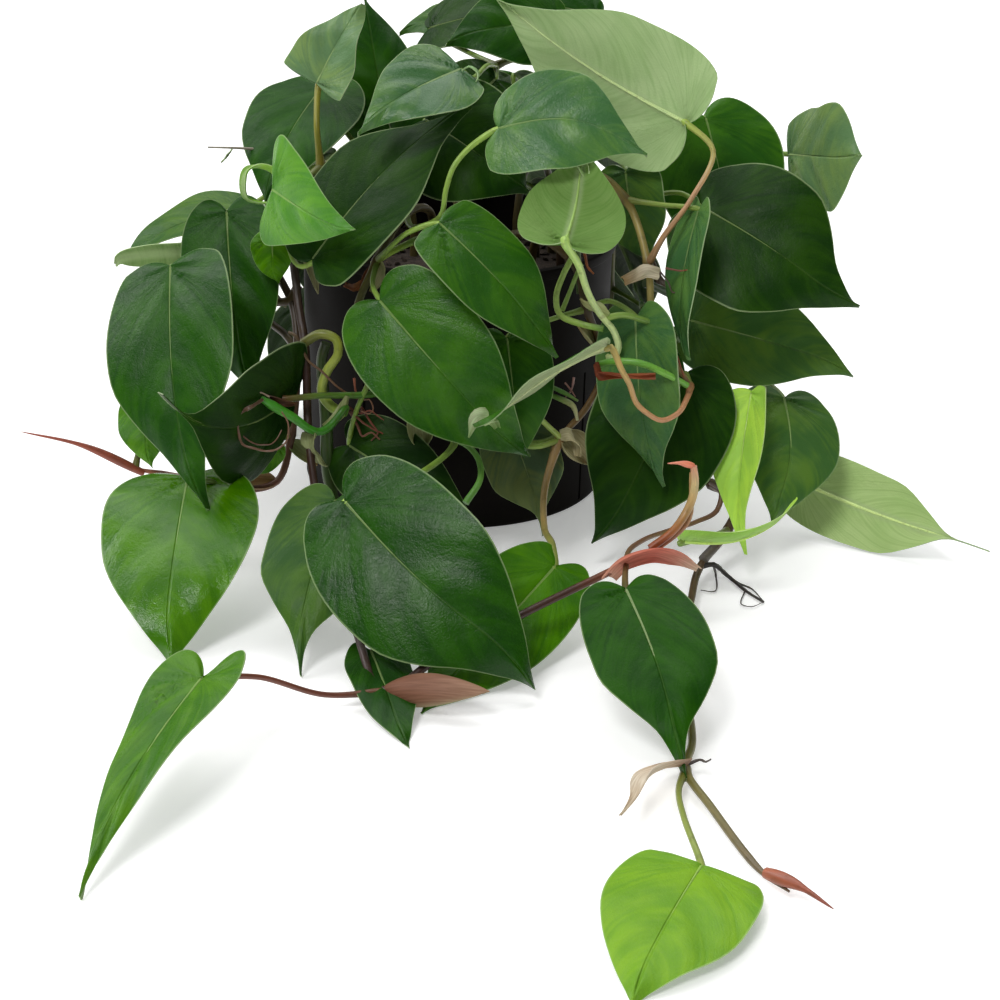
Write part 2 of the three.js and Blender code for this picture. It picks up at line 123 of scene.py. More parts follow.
# Leaf outline from the notch to the tip: along the length, across the half width.
OUTLINE = [
    (0.0, 0.0), (-0.03, 0.05), (-0.07, 0.14), (-0.10, 0.28), (-0.10, 0.45), (-0.065, 0.62),
    (0.0, 0.79), (0.09, 0.93), (0.21, 1.0), (0.35, 0.99), (0.50, 0.91), (0.64, 0.77),
    (0.76, 0.57), (0.86, 0.34), (0.925, 0.15), (0.965, 0.06), (1.0, 0.0),
]
# Half widths of a leaf that is widest at its lobes and runs straight to its tip.
ARROW = [0.0, 0.08, 0.25, 0.50, 0.74, 0.90, 0.98, 0.93, 0.81, 0.67, 0.52, 0.375, 0.25, 0.145, 0.07,
         0.03, 0.0]
# Where the rib that reaches each point of the outline leaves the midrib.
RIBS = [0.0, 0.0, 0.005, 0.015, 0.035, 0.065, 0.11, 0.17, 0.245, 0.335, 0.44, 0.55, 0.66, 0.765,
        0.86, 0.93, 1.0]

# Upper side of the leaves, sRGB, from old shaded leaves to new ones. The sheen tone and the one after it
# are lighter, greyer greens: the leaf's own green with a painted sheen of light on its wax.
TONES = {
    "dark": "#1c3e08",
    "deep": "#1f4c08",
    "forest": "#1c4a04",
    "vivid": "#3b7000",
    "mid": "#2f5f14",
    "grey": "#44682e",
    "slate": "#3c6128",
    "sheen": "#4a7440",
    "sheen_grey": "#6f8f5e",
    "bright_mid": "#497c1c",
    "bright": "#5a9634",
    "fresh_under": "#82ae4c",
    "pale_under": "#d0eaaa",
    "sage_under": "#d8f4a0",
    "dull_under": "#c6d0a4",
    "shade_under": "#5f7250",
    "lime_gloss": "#447a00",
    "lime_soft": "#76a62a",
    "lime": "#b4e05a",
}

# The vines, on the solid model's routes and with as many leaves. Some leaves are moved or turned from their
# solid ones, to where they are seen. A leaf without a sway or a stalk of its own goes straight out.
VINES = {
    "front_vine": {
        "soil": (-10, -34),
        "route": [(-12, -44, 146), (-22, -72, 152), (-33, -94, 137), (-42, -104, 112), (-34, -104, 88),
                  (-14, -106, 74), (3, -110, 66)],
        "leaves": [
            dict(tone="sheen", base=(19, -92, 197), tip=(82, -100, 189), width=48, lobes=0.6, faces=(4, 36),
                 gloss=1.2, fold=4, bow=0.05, sway=0.13, drip=0.4, node=2, stalk=[(-16, -98, 154),
                     (-5, -104, 161), (-3, -102, 172), (0, -98, 181), (7, -94, 189)]),
            dict(tone="mid", base=(-5, -112, 160), tip=(47, -128, 107), width=41, lobes=0.3, faces=(34, 22),
                 gloss=1.4, fold=10, bow=0.07, node=3, stalk=[(-28, -100, 144), (-19, -107, 154)]),
            dict(tone="mid", base=(-30, -116, 126), tip=(34, -142, 64), width=56, lobes=0.7,
                 faces=(-12, 25), gloss=1.1, arrow=0.1, drip=0.2, slim=-0.15, hook=3, fold=6, bow=0.08,
                 node=3, stalk=[(-34, -106, 130)]),
            dict(tone="forest", base=(-39, -190, 64), tip=(44, -238, 13), width=64, faces=(0, 28),
                 pleat=1.2, gloss=1.1, stalk_girth=1.2, slim=-0.3, lobes=0.8, drip=0.3, hook=-7, fold=6,
                 bow=0.08, sway=-0.04, node=7, stalk=[(3, -122, 63), (-11, -160, 64), (-28, -180, 62)]),
            dict(tone="dark", base=(-45, -98, 51), tip=(11, -122, 27), width=42, faces=(0, 20), fold=8,
                 bow=0.05, node=5, stalk=[(-42, -100, 68)]),
        ],
        "sheaths": [
            dict(start=(-20, -105, 66), end=(-12, -104, 52), width=12, tone="#b3b884",
                 tip_tone="#93a866"),
        ],
        "strips": [
            dict(points=[(-33, -94, 137), (-31, -97, 134), (-33, -98, 128), (-35, -98, 124)], width=7,
                 across=(60, 10), hollow=1.0, shape=[0.5, 1.0, 0.8, 0.3], colours=["#c2c890", "#d2d4a4",
                     "#b4b07a"]),
            dict(points=[(-33, -93, 134), (-37, -95, 131), (-39, -96, 127), (-43, -97, 125),
                     (-47, -98, 127)], width=4, across=(0, 80), hollow=1.3, shape=[1.0, 0.7, 1.0, 0.7, 0.5],
                 crumple=1.0, colours=["#5a3018", "#7a4420", "#94602e", "#8a5028"]),
            dict(points=[(22, -148, 82), (19, -151, 87), (14, -153, 88), (10, -153, 79)], width=7,
                 across=(-70, 30), hollow=1.0, shape=[0.4, 1.0, 0.8, 0.05], colours=["#8ab45a", "#c8e0a8",
                     "#d6e8bc", "#a8cc80"]),
        ],
        "shoots": [
            dict(points=[(2, -110, 61), (9, -116, 60), (14, -122, 56), (15, -130, 50), (9, -138, 42)],
                 radius=1.5, colours=["#4a7a2c", "#5f943a", "#4f8430"]),
            dict(points=[(-35, -92, 135), (-29, -94, 140), (-23, -92, 143), (-16, -86, 145)], radius=1.6,
                 colours=["#9ab048", "#7a9a34", "#5a7a28"]),
        ],
        "bark": ["#3d3220", "#4f4a26", "#5d6a2c"],
        "stalk_tone": ["#57772a", "#86a845"],
    },
    "rim_vine": {
        "soil": (18, -36),
        "route": [(24, -52, 138), (40, -76, 144), (54, -82, 134), (60, -88, 116), (67, -84, 98),
                  (69, -76, 80), (62, -86, 68), (50, -100, 59)],
        "leaves": [
            dict(tone="bright_mid", under="fresh_under", stalk_tone=["#a6bc74", "#c2d698", "#b4cc86",
                     "#94ba5a"], base=(48, -124, 156), tip=(54, -94, 188), width=45, lobes=0.6,
                 faces=(180, -40), fold=8, bow=0.04, sway=0.04, stalk_girth=1.3, node=5,
                 stalk=[(72, -104, 99), (74, -107, 105), (71, -110, 114), (65, -114, 122), (59, -118, 133),
                     (54, -122, 147)]),
            dict(tone="sheen", base=(81, -102, 116), tip=(94, -120, 44), width=44, faces=(-40, 18),
                 gloss=0.9, drip=0.4, fold=8, bow=0.06, node=4, stalk=[(70, -94, 122)]),
            dict(tone="mid", base=(25, -97, 104), tip=(33, -116, 55), width=38, faces=(0, 20), fold=5,
                 bow=0.06, node=4, stalk=[(44, -92, 112)]),
            dict(tone="shade_under", base=(28, -92, 60), tip=(46, -114, 17), width=36, faces=(10, 15),
                 drip=0.8, hook=-2, fold=5, bow=0.05, node=8, stalk=[(38, -97, 55)]),
            dict(tone="vivid", stalk_tone=["#8a7048", "#94804c", "#6f8a3a"], stalk_girth=1.3,
                 base=(48, -174, 30), tip=(-5, -250, 3), width=46, faces=(10, 54), fold=4, bow=-0.04,
                 node=8, stalk=[(44, -114, 40), (44, -138, 31), (47, -160, 33)]),
        ],
        "sheaths": [
            dict(start=(54, -101, 60), end=(64, -100, 46), width=13, tone="#c3bf93", tip_tone="#c9b98f"),
            dict(start=(67, -84, 98), end=(56, -92, 110), width=9, tone="#b9bf8a"),
        ],
        "curled": [
            dict(points=[(51, -98, 185), (54, -99, 182), (57, -100, 178), (57, -99, 183), (55, -98, 187)],
                 width=3.5, across=(0, 20), hollow=0.9, shape=[0.5, 1.0, 0.6, 1.0, 0.3], colours=["#9cc070",
                     "#b4d48a", "#9cc070", "#86b058"]),
        ],
        "strips": [
            dict(points=[(68, -113, 121), (63, -113, 124), (58, -112, 126), (56, -111, 128)], width=6,
                 across=(0, 70), hollow=1.2, shape=[0.6, 1.0, 0.7, 0.1], colours=["#b8c880", "#c8d098",
                     "#a8a868"]),
            dict(points=[(50, -102, 61), (54, -103, 62), (58, -104, 58), (59, -105, 52)], width=8,
                 across=(40, -30), hollow=0.8, shape=[0.6, 1.0, 0.9, 0.5], colours=["#c3bf93", "#d2cca4",
                     "#c9bf94"]),
        ],
        "shoots": [
            dict(points=[(53, -88, 144), (52, -92, 140), (49, -94, 134), (46, -97, 124), (48, -100, 117),
                     (57, -103, 114), (67, -106, 113)], radius=[1.2, 1.4, 1.5, 1.5, 1.5, 1.4, 1.3],
                 colours=["#7a9a3c", "#94b45a", "#a2c068", "#8fb04e", "#6a943a"]),
            dict(points=[(57, -86, 136), (55, -88, 132), (52, -90, 124), (49, -94, 117)], radius=1.1,
                 colours=["#6a8a3a", "#86a854", "#7a9a44"]),
            dict(points=[(55, -80, 146), (55, -82, 140), (57, -84, 122)], radius=1.7, colours=["#46602a",
                     "#4f6a2c", "#3a5220"]),
            dict(points=[(67, -112, 120), (75, -110, 121), (84, -107, 118), (93, -103, 114),
                     (101, -98, 106)], radius=1.5, colours=["#7f9c48", "#6a8a3c", "#4f7230", "#3a5624"]),
            dict(points=[(30, -112, 60), (39, -110, 58), (49, -102, 58)], radius=1.3, colours=["#6a8a3a",
                     "#7f9c48", "#6a7a38"]),
            dict(points=[(33, -108, 79), (42, -106, 69), (50, -102, 60)], radius=1.3, colours=["#7a9a44",
                     "#94b05a", "#8a9c4c"]),
            dict(points=[(43, -84, 74), (50, -88, 73), (56, -92, 71), (58, -94, 65)], radius=[1.0, 1.4, 1.5,
                     0.6], colours=["#4a7a2a", "#5f8a34", "#a8b078", "#c8c89a"]),
            dict(points=[(44, -84, 78), (51, -87, 76), (58, -90, 73)], radius=[0.9, 1.2, 0.5],
                 colours=["#3f7024", "#56863a", "#6a8a44"]),
        ],
        "roots": [
            dict(start=(57, -74, 142), points=[(59, -75, 136), (60, -76, 132), (63, -77, 129)], girth=1.0,
                 colours=["#8a4a2a", "#a4623a"]),
            dict(start=(56, -81, 81), points=[(55, -84, 76), (52, -85, 72)], girth=0.6, colours=["#a07a74",
                     "#8a5a54"]),
            dict(start=(52, -83, 79), points=[(55, -85, 76), (57, -85, 73)], girth=0.5, colours=["#a07a74",
                     "#8a5a54"]),
        ],
        "bark": ["#3a2e1e", "#40361f", "#4a3c1c", "#3a3012", "#5a4424", "#8a7048"],
        "stalk_tone": ["#6a8a35", "#7f9c48"],
    },
    "right_vine": {
        "soil": (36, -22),
        "route": [(46, -40, 150), (62, -60, 170), (76, -72, 162), (86, -90, 138), (90, -100, 111),
                  (107, -104, 87)],
        "leaves": [
            dict(tone="bright_mid", under="pale_under", stalk_tone=["#8c6a48", "#a98662", "#8fae4a"],
                 base=(101, -72, 197), tip=(17, -35, 241), width=63, lobes=0.4, faces=(180, 8), drip=0.35,
                 pleat=1.3, fold=8, bow=0.06, sway=-0.05, node=4, stalk=[(92, -93, 152), (103, -90, 168),
                     (112, -80, 187)]),
            dict(tone="mid", under="dull_under", stalk_tone=["#a0704c", "#b0805a", "#a09858"],
                 base=(67, -144, 119), tip=(14, -160, 84), width=30, lobes=0.2, faces=(180, 62), curl=-4,
                 fold=8, bow=0.05, node=6, stalk=[(104, -122, 88), (99, -136, 86), (92, -142, 85),
                     (86, -146, 89), (80, -148, 95), (77, -149, 103), (73, -149, 110)]),
            dict(tone="sheen", base=(106, -92, 163), tip=(102, -106, 100), width=31, faces=(-70, 10),
                 gloss=0.6, wave=0.3, fold=10, bow=0.06, node=3, stalk=[(90, -82, 163)]),
            dict(tone="dark", gloss=0.1, base=(106, -86, 86), tip=(70, -118, 13), width=64, faces=(0, 20),
                 drip=0.3, hook=-4, fold=5, bow=0.06, node=6),
        ],
        "bark": ["#5a4c2e", "#5f5226", "#6b5f2c", "#857a44", "#8f8450", "#7f6a40"],
        "stalk_tone": ["#7a8a40", "#6f8f38"],
        "strips": [
            dict(points=[(91, -96, 136), (85, -98, 138), (80, -100, 136), (75, -102, 134)], width=6,
                 across=(180, 60), hollow=1.3, shape=[0.9, 1.0, 0.8, 0.7], crumple=0.8, colours=["#ece4c8",
                     "#f0e8d0", "#e4d6b4", "#c8a874"]),
            dict(points=[(64, -120, 102), (66, -123, 98), (68, -125, 99), (77, -127, 99), (89, -129, 101)],
                 width=3.6, across=(0, 70), hollow=1.0, shape=[1.5, 1.2, 0.6, 0.8, 0.9], crumple=0.8,
                 colours=["#7a3a20", "#a04e28", "#b86438", "#a85a34"]),
        ],
        "shoots": [
            dict(points=[(64, -117, 99), (66, -118, 101), (74, -122, 104), (83, -124, 104), (93, -124, 100),
                     (104, -120, 93)], radius=[1.5, 1.7, 1.7, 1.7, 1.5, 1.3], colours=["#3f6a1c", "#548c2a",
                     "#5c9632", "#6aa23e", "#548c30"]),
            dict(points=[(86, -82, 127), (92, -76, 123), (104, -66, 115)], radius=2.0, colours=["#2c3a1c",
                     "#24381c", "#1c3016"]),
        ],
        "roots": [
            dict(start=(93, -98, 139), heading=(12, 0, 6), length=14, girth=0.5, colours=["#5a3222",
                     "#8a4a34"]),
            dict(start=(91, -97, 137), points=[(95, -97, 132), (97, -98, 128), (101, -98, 131),
                     (104, -98, 137)], girth=0.45, colours=["#3a2a24", "#5a4a44"]),
            dict(start=(101, -98, 92), points=[(100, -103, 97), (98, -107, 103), (97, -108, 106),
                     (99, -109, 104), (103, -112, 94)], girth=0.7, colours=["#7a3a28", "#93503a"]),
        ],
    },
    "right_trailing_vine": {
        "soil": (50, 0),
        "route": [(62, -10, 148), (82, -34, 140), (95, -52, 119), (106, -32, 110), (126, -20, 94),
                  (148, -42, 68), (144, -48, 48), (132, -52, 36), (122, -66, 31), (122, -84, 31),
                  (132, -97, 30), (128, -110, 20), (115, -126, 9), (109, -152, 5), (101, -210, 4),
                  (100, -271, 4), (96, -291, 4), (103, -315, 4), (117, -355, 4), (125, -366, 4)],
        "leaves": [
            dict(tone="dark", gloss=0.2, base=(111, -66, 158), tip=(178, -94, 120), width=67,
                 faces=(12, 28), drip=0.5, slim=-0.2, hook=5, fold=5, bow=0.08, node=2,
                 stalk=[(90, -50, 158), (102, -58, 162)]),
            dict(tone="grey", base=(111, -48, 99), tip=(186, -70, 86), width=47, faces=(0, 26), drip=0.3,
                 hook=-4, fold=6, bow=0.04, node=4),
            dict(tone="lime", base=(137, -83, 77), tip=(131, -124, 15), width=27, faces=(-42, 20),
                 lobes=0.3, drip=0.5, hook=3, fold=30, bow=0.04, node=6, stalk=[(147, -56, 69),
                     (143, -74, 72)]),
            dict(tone="grey", base=(156, -60, 66), tip=(148, -106, 24), width=48, faces=(2, 14), fold=5,
                 bow=0.05, sway=0.08, node=6, stalk=[(154, -50, 66)]),
            dict(tone="mid", under="sage_under", base=(167, -58, 23), tip=(248, -114, 16), width=40,
                 faces=(180, -25), arrow=0.2, lobes=0.2, drip=1.0, fold=6, bow=0.04, sway=0.02, node=8,
                 stalk=[(150, -58, 32)]),
            dict(tone="lime", base=(102, -150, 33), tip=(155, -137, 46), width=8, lobes=0.0,
                 faces=(180, 60), arrow=0.4, curl=-3, wave=0.3, fold=60, bow=-0.13, node=12,
                 stalk=[(118, -134, 28)]),
            dict(tone="forest", stalk_tone=["#5a4034", "#74523c", "#6a4a34", "#4a4a24"], gloss=0.1,
                 base=(75, -222, 44), tip=(94, -300, 7), width=46, lobes=0.7, faces=(0, 48), pleat=1.2,
                 drip=0.7, slim=-0.22, stalk_girth=0.9, fold=6, bow=0.03, sway=0.03, node=10,
                 stalk=[(125, -102, 34), (123, -106, 28), (112, -122, 29), (97, -150, 37), (84, -176, 44),
                     (78, -186, 44), (76, -200, 43)]),
            dict(tone="lime_soft", stalk_tone=["#66702c", "#7d8f3c"], base=(96, -358, 8), tip=(68, -423, 3),
                 width=51, lobes=0.35, faces=(0, 85), fold=4, bow=0.04, node=17, stalk=[(92, -308, 6),
                     (92, -331, 9)]),
        ],
        "strips": [
            dict(points=[(96, -292, 7), (88, -300, 10), (80, -309, 12), (75, -325, 13), (69, -338, 14)],
                 width=9, across=(60, 30), hollow=1.1, shape=[0.7, 1.0, 0.9, 0.35, 0.1], colours=["#a88468",
                     "#e2d2bc", "#ece4d4", "#dccfb8", "#cdbfa4"]),
        ],
        "shoots": [
            dict(points=[(120, -96, 38), (126, -98, 35), (131, -99, 28), (131, -103, 22), (125, -112, 16),
                     (116, -125, 12)], radius=[1.6, 2.2, 2.3, 2.2, 2.2, 2.1], colours=["#6a5a54", "#5f524c",
                     "#4a4038", "#54504a"]),
        ],
        "roots": [
            dict(start=(115, -126, 9), points=[(121, -124, 9), (128, -120, 2), (135, -133, 1),
                     (142, -144, 1)], girth=1.3, colours=["#24201e", "#3a3634"]),
            dict(start=(121, -124, 9), points=[(123, -120, 2), (121, -135, 1), (115, -134, 1)], girth=0.6,
                 colours=["#3a3432", "#4a4644"]),
            dict(start=(128, -120, 2), points=[(133, -126, 1), (138, -131, 1), (142, -143, 1)], girth=0.6,
                 colours=["#2e2a28", "#4a4644"]),
            dict(start=(135, -133, 1), points=[(132, -147, 1), (136, -149, 1), (142, -144, 1)], girth=0.4,
                 colours=["#3a3432", "#5a5654"]),
            dict(start=(97, -290, 6), points=[(101, -290, 8), (103, -293, 9), (105, -291, 9)], girth=0.7,
                 colours=["#2e2420", "#4a4038"]),
        ],
        "tips": [dict(start=(118, -357, 5), end=(138, -378, 6), radius=3.0, tone="#9a5a44",
                      tip_tone="#7a3f30")],
        "bark": ["#33261c", "#3f3222", "#4a3a28", "#4a3a2e", "#54462c", "#6a6a30", "#5a4a38"],
        "stalk_tone": ["#57672c", "#6f8f38"],
    },
    "left_trailing_vine": {
        "soil": (-42, -22),
        "route": [(-54, -36, 142), (-72, -58, 138), (-70, -78, 116), (-65, -94, 96), (-62, -112, 60),
                  (-50, -160, 28), (-34, -205, 14), (-19, -241, 5), (0, -232, 15), (18, -222, 20),
                  (34, -212, 26), (71, -195, 39), (89, -187, 46), (102, -181, 57), (102, -177, 76)],
        "leaves": [
            dict(tone="bright_mid", stalk_tone=["#5a3226", "#74402e"], base=(-84, -286, 34),
                 tip=(-113, -378, 4), width=36, faces=(-30, 50), lobes=1.3, arrow=0.9, drip=0.3, pleat=1.6,
                 gloss=0.7, fold=16, bow=0.05, node=8, stalk=[(-42, -250, 8), (-66, -266, 24)]),
            dict(tone="slate", base=(-46, -160, 51), tip=(-58, -224, 3), width=48, faces=(-15, 25),
                 drip=0.7, hook=3, fold=6, bow=0.06, node=6),
            dict(tone="deep", base=(-27, -212, 8), tip=(-9, -276, 1), width=26, faces=(0, 84), fold=5,
                 bow=0.03, node=8),
        ],
        "sheaths": [
            dict(start=(-22, -241, 7), end=(22, -254, 14), width=13, tone="#8f5f46", tip_tone="#c9a488",
                 rim_tone="#b9b48a", over=1),
        ],
        "tips": [dict(start=(103, -177, 79), end=(92, -180, 81), radius=1.6, tone="#c9755a",
                      tip_tone="#dc9078")],
        "strips": [
            dict(points=[(69, -196, 37), (75, -199, 46), (86, -198, 50), (98, -192, 45), (107, -188, 38)],
                 width=9, across=(0, 60), hollow=1.2, shape=[0.85, 1.0, 1.0, 0.9, 0.35], colours=["#e8b8a0",
                     "#dc8a74", "#d87c68", "#e09a84", "#f0dcc4"]),
            dict(points=[(-59, -118, 64), (-60, -120, 60), (-57, -119, 54), (-54, -117, 49)], width=10,
                 across=(30, 10), hollow=0.9, shape=[1.3, 1.1, 0.8, 1.0, 0.3], crumple=0.6,
                 colours=["#a8b47c", "#b8c48a", "#c4cc98", "#b0b888"]),
            dict(points=[(-45, -106, 78), (-47, -108, 73), (-50, -111, 69), (-55, -114, 66)], width=5,
                 across=(-60, 10), hollow=0.9, shape=[0.4, 1.0, 0.9, 0.6], colours=["#9aa86a", "#b4c084",
                     "#a8b478"]),
        ],
        "shoots": [
            dict(points=[(86, -192, 48), (95, -188, 54), (100, -183, 59), (103, -180, 65), (104, -178, 72),
                     (103, -177, 79)], radius=[1.7, 1.8, 1.9, 1.9, 1.7, 1.3], colours=["#7a3a1a", "#8c4c24",
                     "#8f6a3c", "#a58a58", "#b8a878", "#c08a70"]),
            dict(points=[(-56, -90, 97), (-58, -90, 90), (-56, -94, 62), (-55, -98, 39), (-52, -104, 26)],
                 radius=[2.4, 2.8, 3.2, 3.2, 2.6], colours=["#26360e", "#2f4614", "#31491a", "#2a3e12"]),
        ],
        "bark": ["#26221a", "#24201a", "#221c14", "#2a1e16", "#33201a", "#33201a", "#33201a", "#33201a",
                 "#33201a", "#33201a", "#33201a", "#3a221a", "#8a4a28", "#a08454"],
        "stalk_tone": ["#5a6a2c", "#6f8f38"],
    },
    "left_vine": {
        "soil": (-40, 4),
        "route": [(-54, -6, 148), (-78, -34, 146), (-84, -54, 126), (-73, -68, 106), (-70, -84, 80),
                  (-72, -94, 54), (-78, -102, 34), (-96, -108, 32), (-113, -102, 33), (-142, -104, 39)],
        "leaves": [
            dict(tone="deep", base=(-125, -88, 130), tip=(-106, -158, 44), width=63, lobes=0.45,
                 faces=(-16, 10), gloss=0.7, pleat=1.3, drip=0.45, hook=4, fold=7, bow=0.07, node=3,
                 stalk=[(-98, -58, 122), (-114, -74, 118), (-123, -82, 124)]),
            dict(tone="deep", base=(-105, -50, 145), tip=(-93, -86, 70), width=46, lobes=0.8,
                 faces=(-8, 22), pleat=1.3, fold=6, bow=0.07, node=2, stalk=[(-90, -44, 142),
                     (-100, -47, 141)]),
            dict(tone="dark", base=(-69, -102, 76), tip=(-115, -170, 94), width=62, faces=(-15, 10),
                 lobes=0.6, drip=0.95, slim=0.3, hook=-6, fold=4, bow=0.05, sway=0.12, node=5),
            dict(tone="lime_gloss", base=(-113, -134, 48), tip=(-111, -220, 4), width=66, lobes=0.6,
                 faces=(0, 30), gloss=2.0, pleat=1.2, wave=1.8, hook=4, fold=5, bow=0.06, node=8,
                 stalk=[(-97, -124, 38), (-103, -138, 49)]),
            dict(tone="bright_mid", base=(-137, -92, 69), tip=(-135, -112, 44), width=28, faces=(-10, 20),
                 fold=5, bow=0.05, node=10),
            dict(tone="bright_mid", base=(-78, -103, 53), tip=(-93, -106, 38), width=16, faces=(10, 10),
                 fold=5, bow=0.05, node=6),
        ],
        "sheaths": [
            dict(start=(-74, -100, 31), end=(-104, -106, 34), width=9, tone="#b89a74"),
            dict(start=(-72, -96, 52), end=(-60, -96, 40), width=8, tone="#9fae78"),
        ],
        "tips": [dict(start=(-138, -104, 37), end=(-191, -110, 58), radius=2.4, tone="#7a4030",
                      tip_tone="#934a38")],
        "bark": ["#2c2412", "#30280f", "#2a200e", "#3a2a1a", "#5f3c2c", "#8a5238"],
        "stalk_tone": ["#55602a", "#5f7f34"],
        "shoots": [
            dict(points=[(-66, -94, 98), (-58, -95, 103), (-51, -96, 101), (-50, -98, 95), (-55, -100, 87),
                     (-57, -102, 78), (-53, -103, 72), (-47, -102, 68)], radius=2.3, colours=["#4a4a1e",
                     "#7f8c34", "#8fa048", "#8fae4a"]),
            dict(points=[(-47, -102, 68), (-46, -107, 73), (-49, -110, 70), (-53, -114, 66),
                     (-57, -117, 65), (-61, -119, 67), (-67, -122, 73), (-73, -125, 78), (-78, -127, 82),
                     (-81, -127, 84)], radius=[1.6, 1.7, 1.9, 2.0, 2.0, 2.0, 2.1, 2.1, 2.1, 1.2],
                 colours=["#3f6a1a", "#2f6414", "#35801a", "#3f8c22", "#337a1c"]),
            dict(points=[(-73, -114, 79), (-71, -114, 79), (-58, -109, 79), (-48, -105, 78),
                     (-38, -101, 77), (-26, -92, 76)], radius=1.6, colours=["#5a3a1e", "#4c6a20", "#3f6a1c",
                     "#44701f"]),
            dict(points=[(-71, -66, 116), (-75, -66, 109), (-87, -60, 106), (-98, -54, 104)], radius=2.2,
                 colours=["#3a2e14", "#4a3c18", "#3a2e14"]),
            dict(points=[(-93, -52, 104), (-89, -56, 98), (-77, -66, 92), (-69, -78, 86)], radius=2.0,
                 colours=["#3f3814", "#3a3010", "#2c240e"]),
        ],
        "strips": [
            dict(points=[(-79, -123, 84), (-76, -124, 83), (-72, -123, 81), (-67, -120, 79)], width=4,
                 across=(0, 70), hollow=1.2, shape=[0.4, 1.0, 0.8, 0.3], colours=["#4a2e1a", "#5f3a20",
                     "#6f4628"]),
            dict(points=[(-87, -60, 105), (-88, -62, 111), (-83, -62, 112), (-77, -62, 104)], width=9,
                 across=(-20, 30), hollow=1.0, shape=[0.4, 1.0, 0.9, 0.1], colours=["#b8bca0", "#c9cbb0",
                     "#b4b89a"]),
        ],
        "roots": [
            dict(start=(-80, -129, 84), ring=(-79, -138, 75), turns=0.85, radius=11.5, girth=0.8,
                 colours=["#4f3c30", "#7a5a48"]),
            dict(start=(-80, -129, 84), ring=(-80, -136, 75), turns=0.7, radius=10, girth=0.6,
                 colours=["#5a4438", "#6a4a3c"]),
            dict(start=(-88, -121, 80), points=[(-85, -127, 86), (-81, -128, 87), (-77, -128, 85)],
                 girth=0.8, colours=["#6a6258", "#8a7a6a"]),
            dict(start=(-72, -97, 104), points=[(-69, -98, 103), (-63, -100, 92), (-57, -102, 88),
                     (-49, -102, 80), (-39, -100, 74), (-36, -101, 75), (-34, -102, 71), (-36, -101, 68),
                     (-40, -100, 69)], girth=0.7, colours=["#5a4c3a", "#74503c"]),
            dict(start=(-47, -98, 69), points=[(-44, -98, 66), (-41, -100, 61), (-39, -101, 57),
                     (-35, -101, 59), (-31, -102, 56)], girth=0.8, colours=["#5f382c", "#74503f"]),
            dict(start=(-40, -98, 70), points=[(-38, -98, 67), (-35, -100, 63), (-32, -101, 59),
                     (-35, -101, 55)], girth=0.7, colours=["#744030", "#5f382c"]),
            dict(start=(-43, -96, 83), points=[(-42, -98, 77), (-39, -99, 73)], girth=0.6,
                 colours=["#84503f", "#744030"]),
            dict(start=(-46, -98, 70), heading=(12, -2, -4), length=20, girth=0.6),
            dict(start=(-44, -99, 68), heading=(8, -2, -12), length=22, girth=0.6),
        ],
    },
    "top_left_vine": {
        "soil": (-22, 8),
        "route": [(-28, 2, 150), (-44, -20, 166), (-62, -46, 166), (-72, -62, 158), (-76, -74, 148)],
        "leaves": [
            dict(tone="bright", base=(-79, -88, 166), tip=(-44, -125, 158), width=52, faces=(-50, 8),
                 arrow=0.9, wave=0.5, drip=0.0, gloss=0.7, fold=5, bow=0.03, node=5,
                 stalk=[(-80, -82, 158)]),
            dict(tone="dark", gloss=0.0, base=(-61, -96, 138), tip=(5, -66, 202), width=57, lobes=0.55,
                 faces=(-35, 42), drip=0.4, fold=8, bow=0.07, node=5, stalk=[(-70, -88, 134),
                     (-66, -92, 133)]),
            dict(tone="sheen_grey", stalk_tone=["#6a6a1c", "#86862c"], stalk_girth=1.2, base=(-65, -30, 201),
                 tip=(-45, -24, 236), width=41, faces=(-30, 20), lobes=0.3, arrow=0.8, drip=0.0, slim=-0.3,
                 wave=1.6, gloss=0.7, fold=18, bow=0.04, node=3, stalk=[(-64, -42, 184)]),
            dict(tone="deep", gloss=0.2, base=(-66, 6, 192), tip=(-91, -38, 147), width=60, faces=(-30, 30),
                 drip=0.3, fold=6, bow=0.07, node=2, stalk=[(-57, -10, 179)]),
            dict(tone="grey", base=(-102, -12, 138), tip=(-160, -32, 116), width=40, faces=(-6, 76),
                 lobes=0.5, cup=4, fold=6, bow=0.06, node=2, stalk=[(-72, -10, 156)]),
            dict(tone="lime_gloss", base=(-81, -76, 142), tip=(-80, -80, 121), width=20, faces=(-10, 20),
                 fold=5, bow=0.04, node=5),
        ],
        "sheaths": [
            dict(start=(-62, -64, 150), end=(-60, -84, 118), width=8, tone="#a3a878", tip_tone="#b3b08a"),
        ],
        "bark": ["#4a3f24", "#5a5a2a", "#5f7030"],
        "stalk_tone": ["#5f7a2c", "#7fa040"],
        "curled": [
            dict(points=[(-76, -74, 158), (-77, -76, 164), (-80, -77, 171), (-86, -77, 173),
                     (-91, -77, 171), (-93, -76, 165), (-92, -75, 159), (-88, -74, 157), (-82, -73, 156)],
                 width=9, across=(28, 18), hollow=0.7, shape=[0.25, 0.8, 1.0, 1.1, 1.1, 0.9, 0.7, 0.5, 0.2],
                 colours=["#8fb84a", "#a4cc60", "#98c452", "#7fb030", "#6aa01c", "#8cba48"]),
            dict(points=[(-160, -36, 114), (-157, -39, 118), (-142, -43, 122), (-126, -43, 124),
                     (-116, -36, 127)], width=11, across=(0, 80), hollow=0.9, shape=[0.2, 0.8, 1.0, 1.0,
                     0.5], colours=["#7a9a54", "#8aaa62", "#86a65e", "#6f8f4c"]),
            dict(points=[(-106, -20, 167), (-108, -21, 164), (-111, -22, 161)], width=5, across=(0, 10),
                 hollow=0.5, shape=[0.3, 1.0, 0.1], colours=["#5f7a48", "#6a8450"]),
        ],
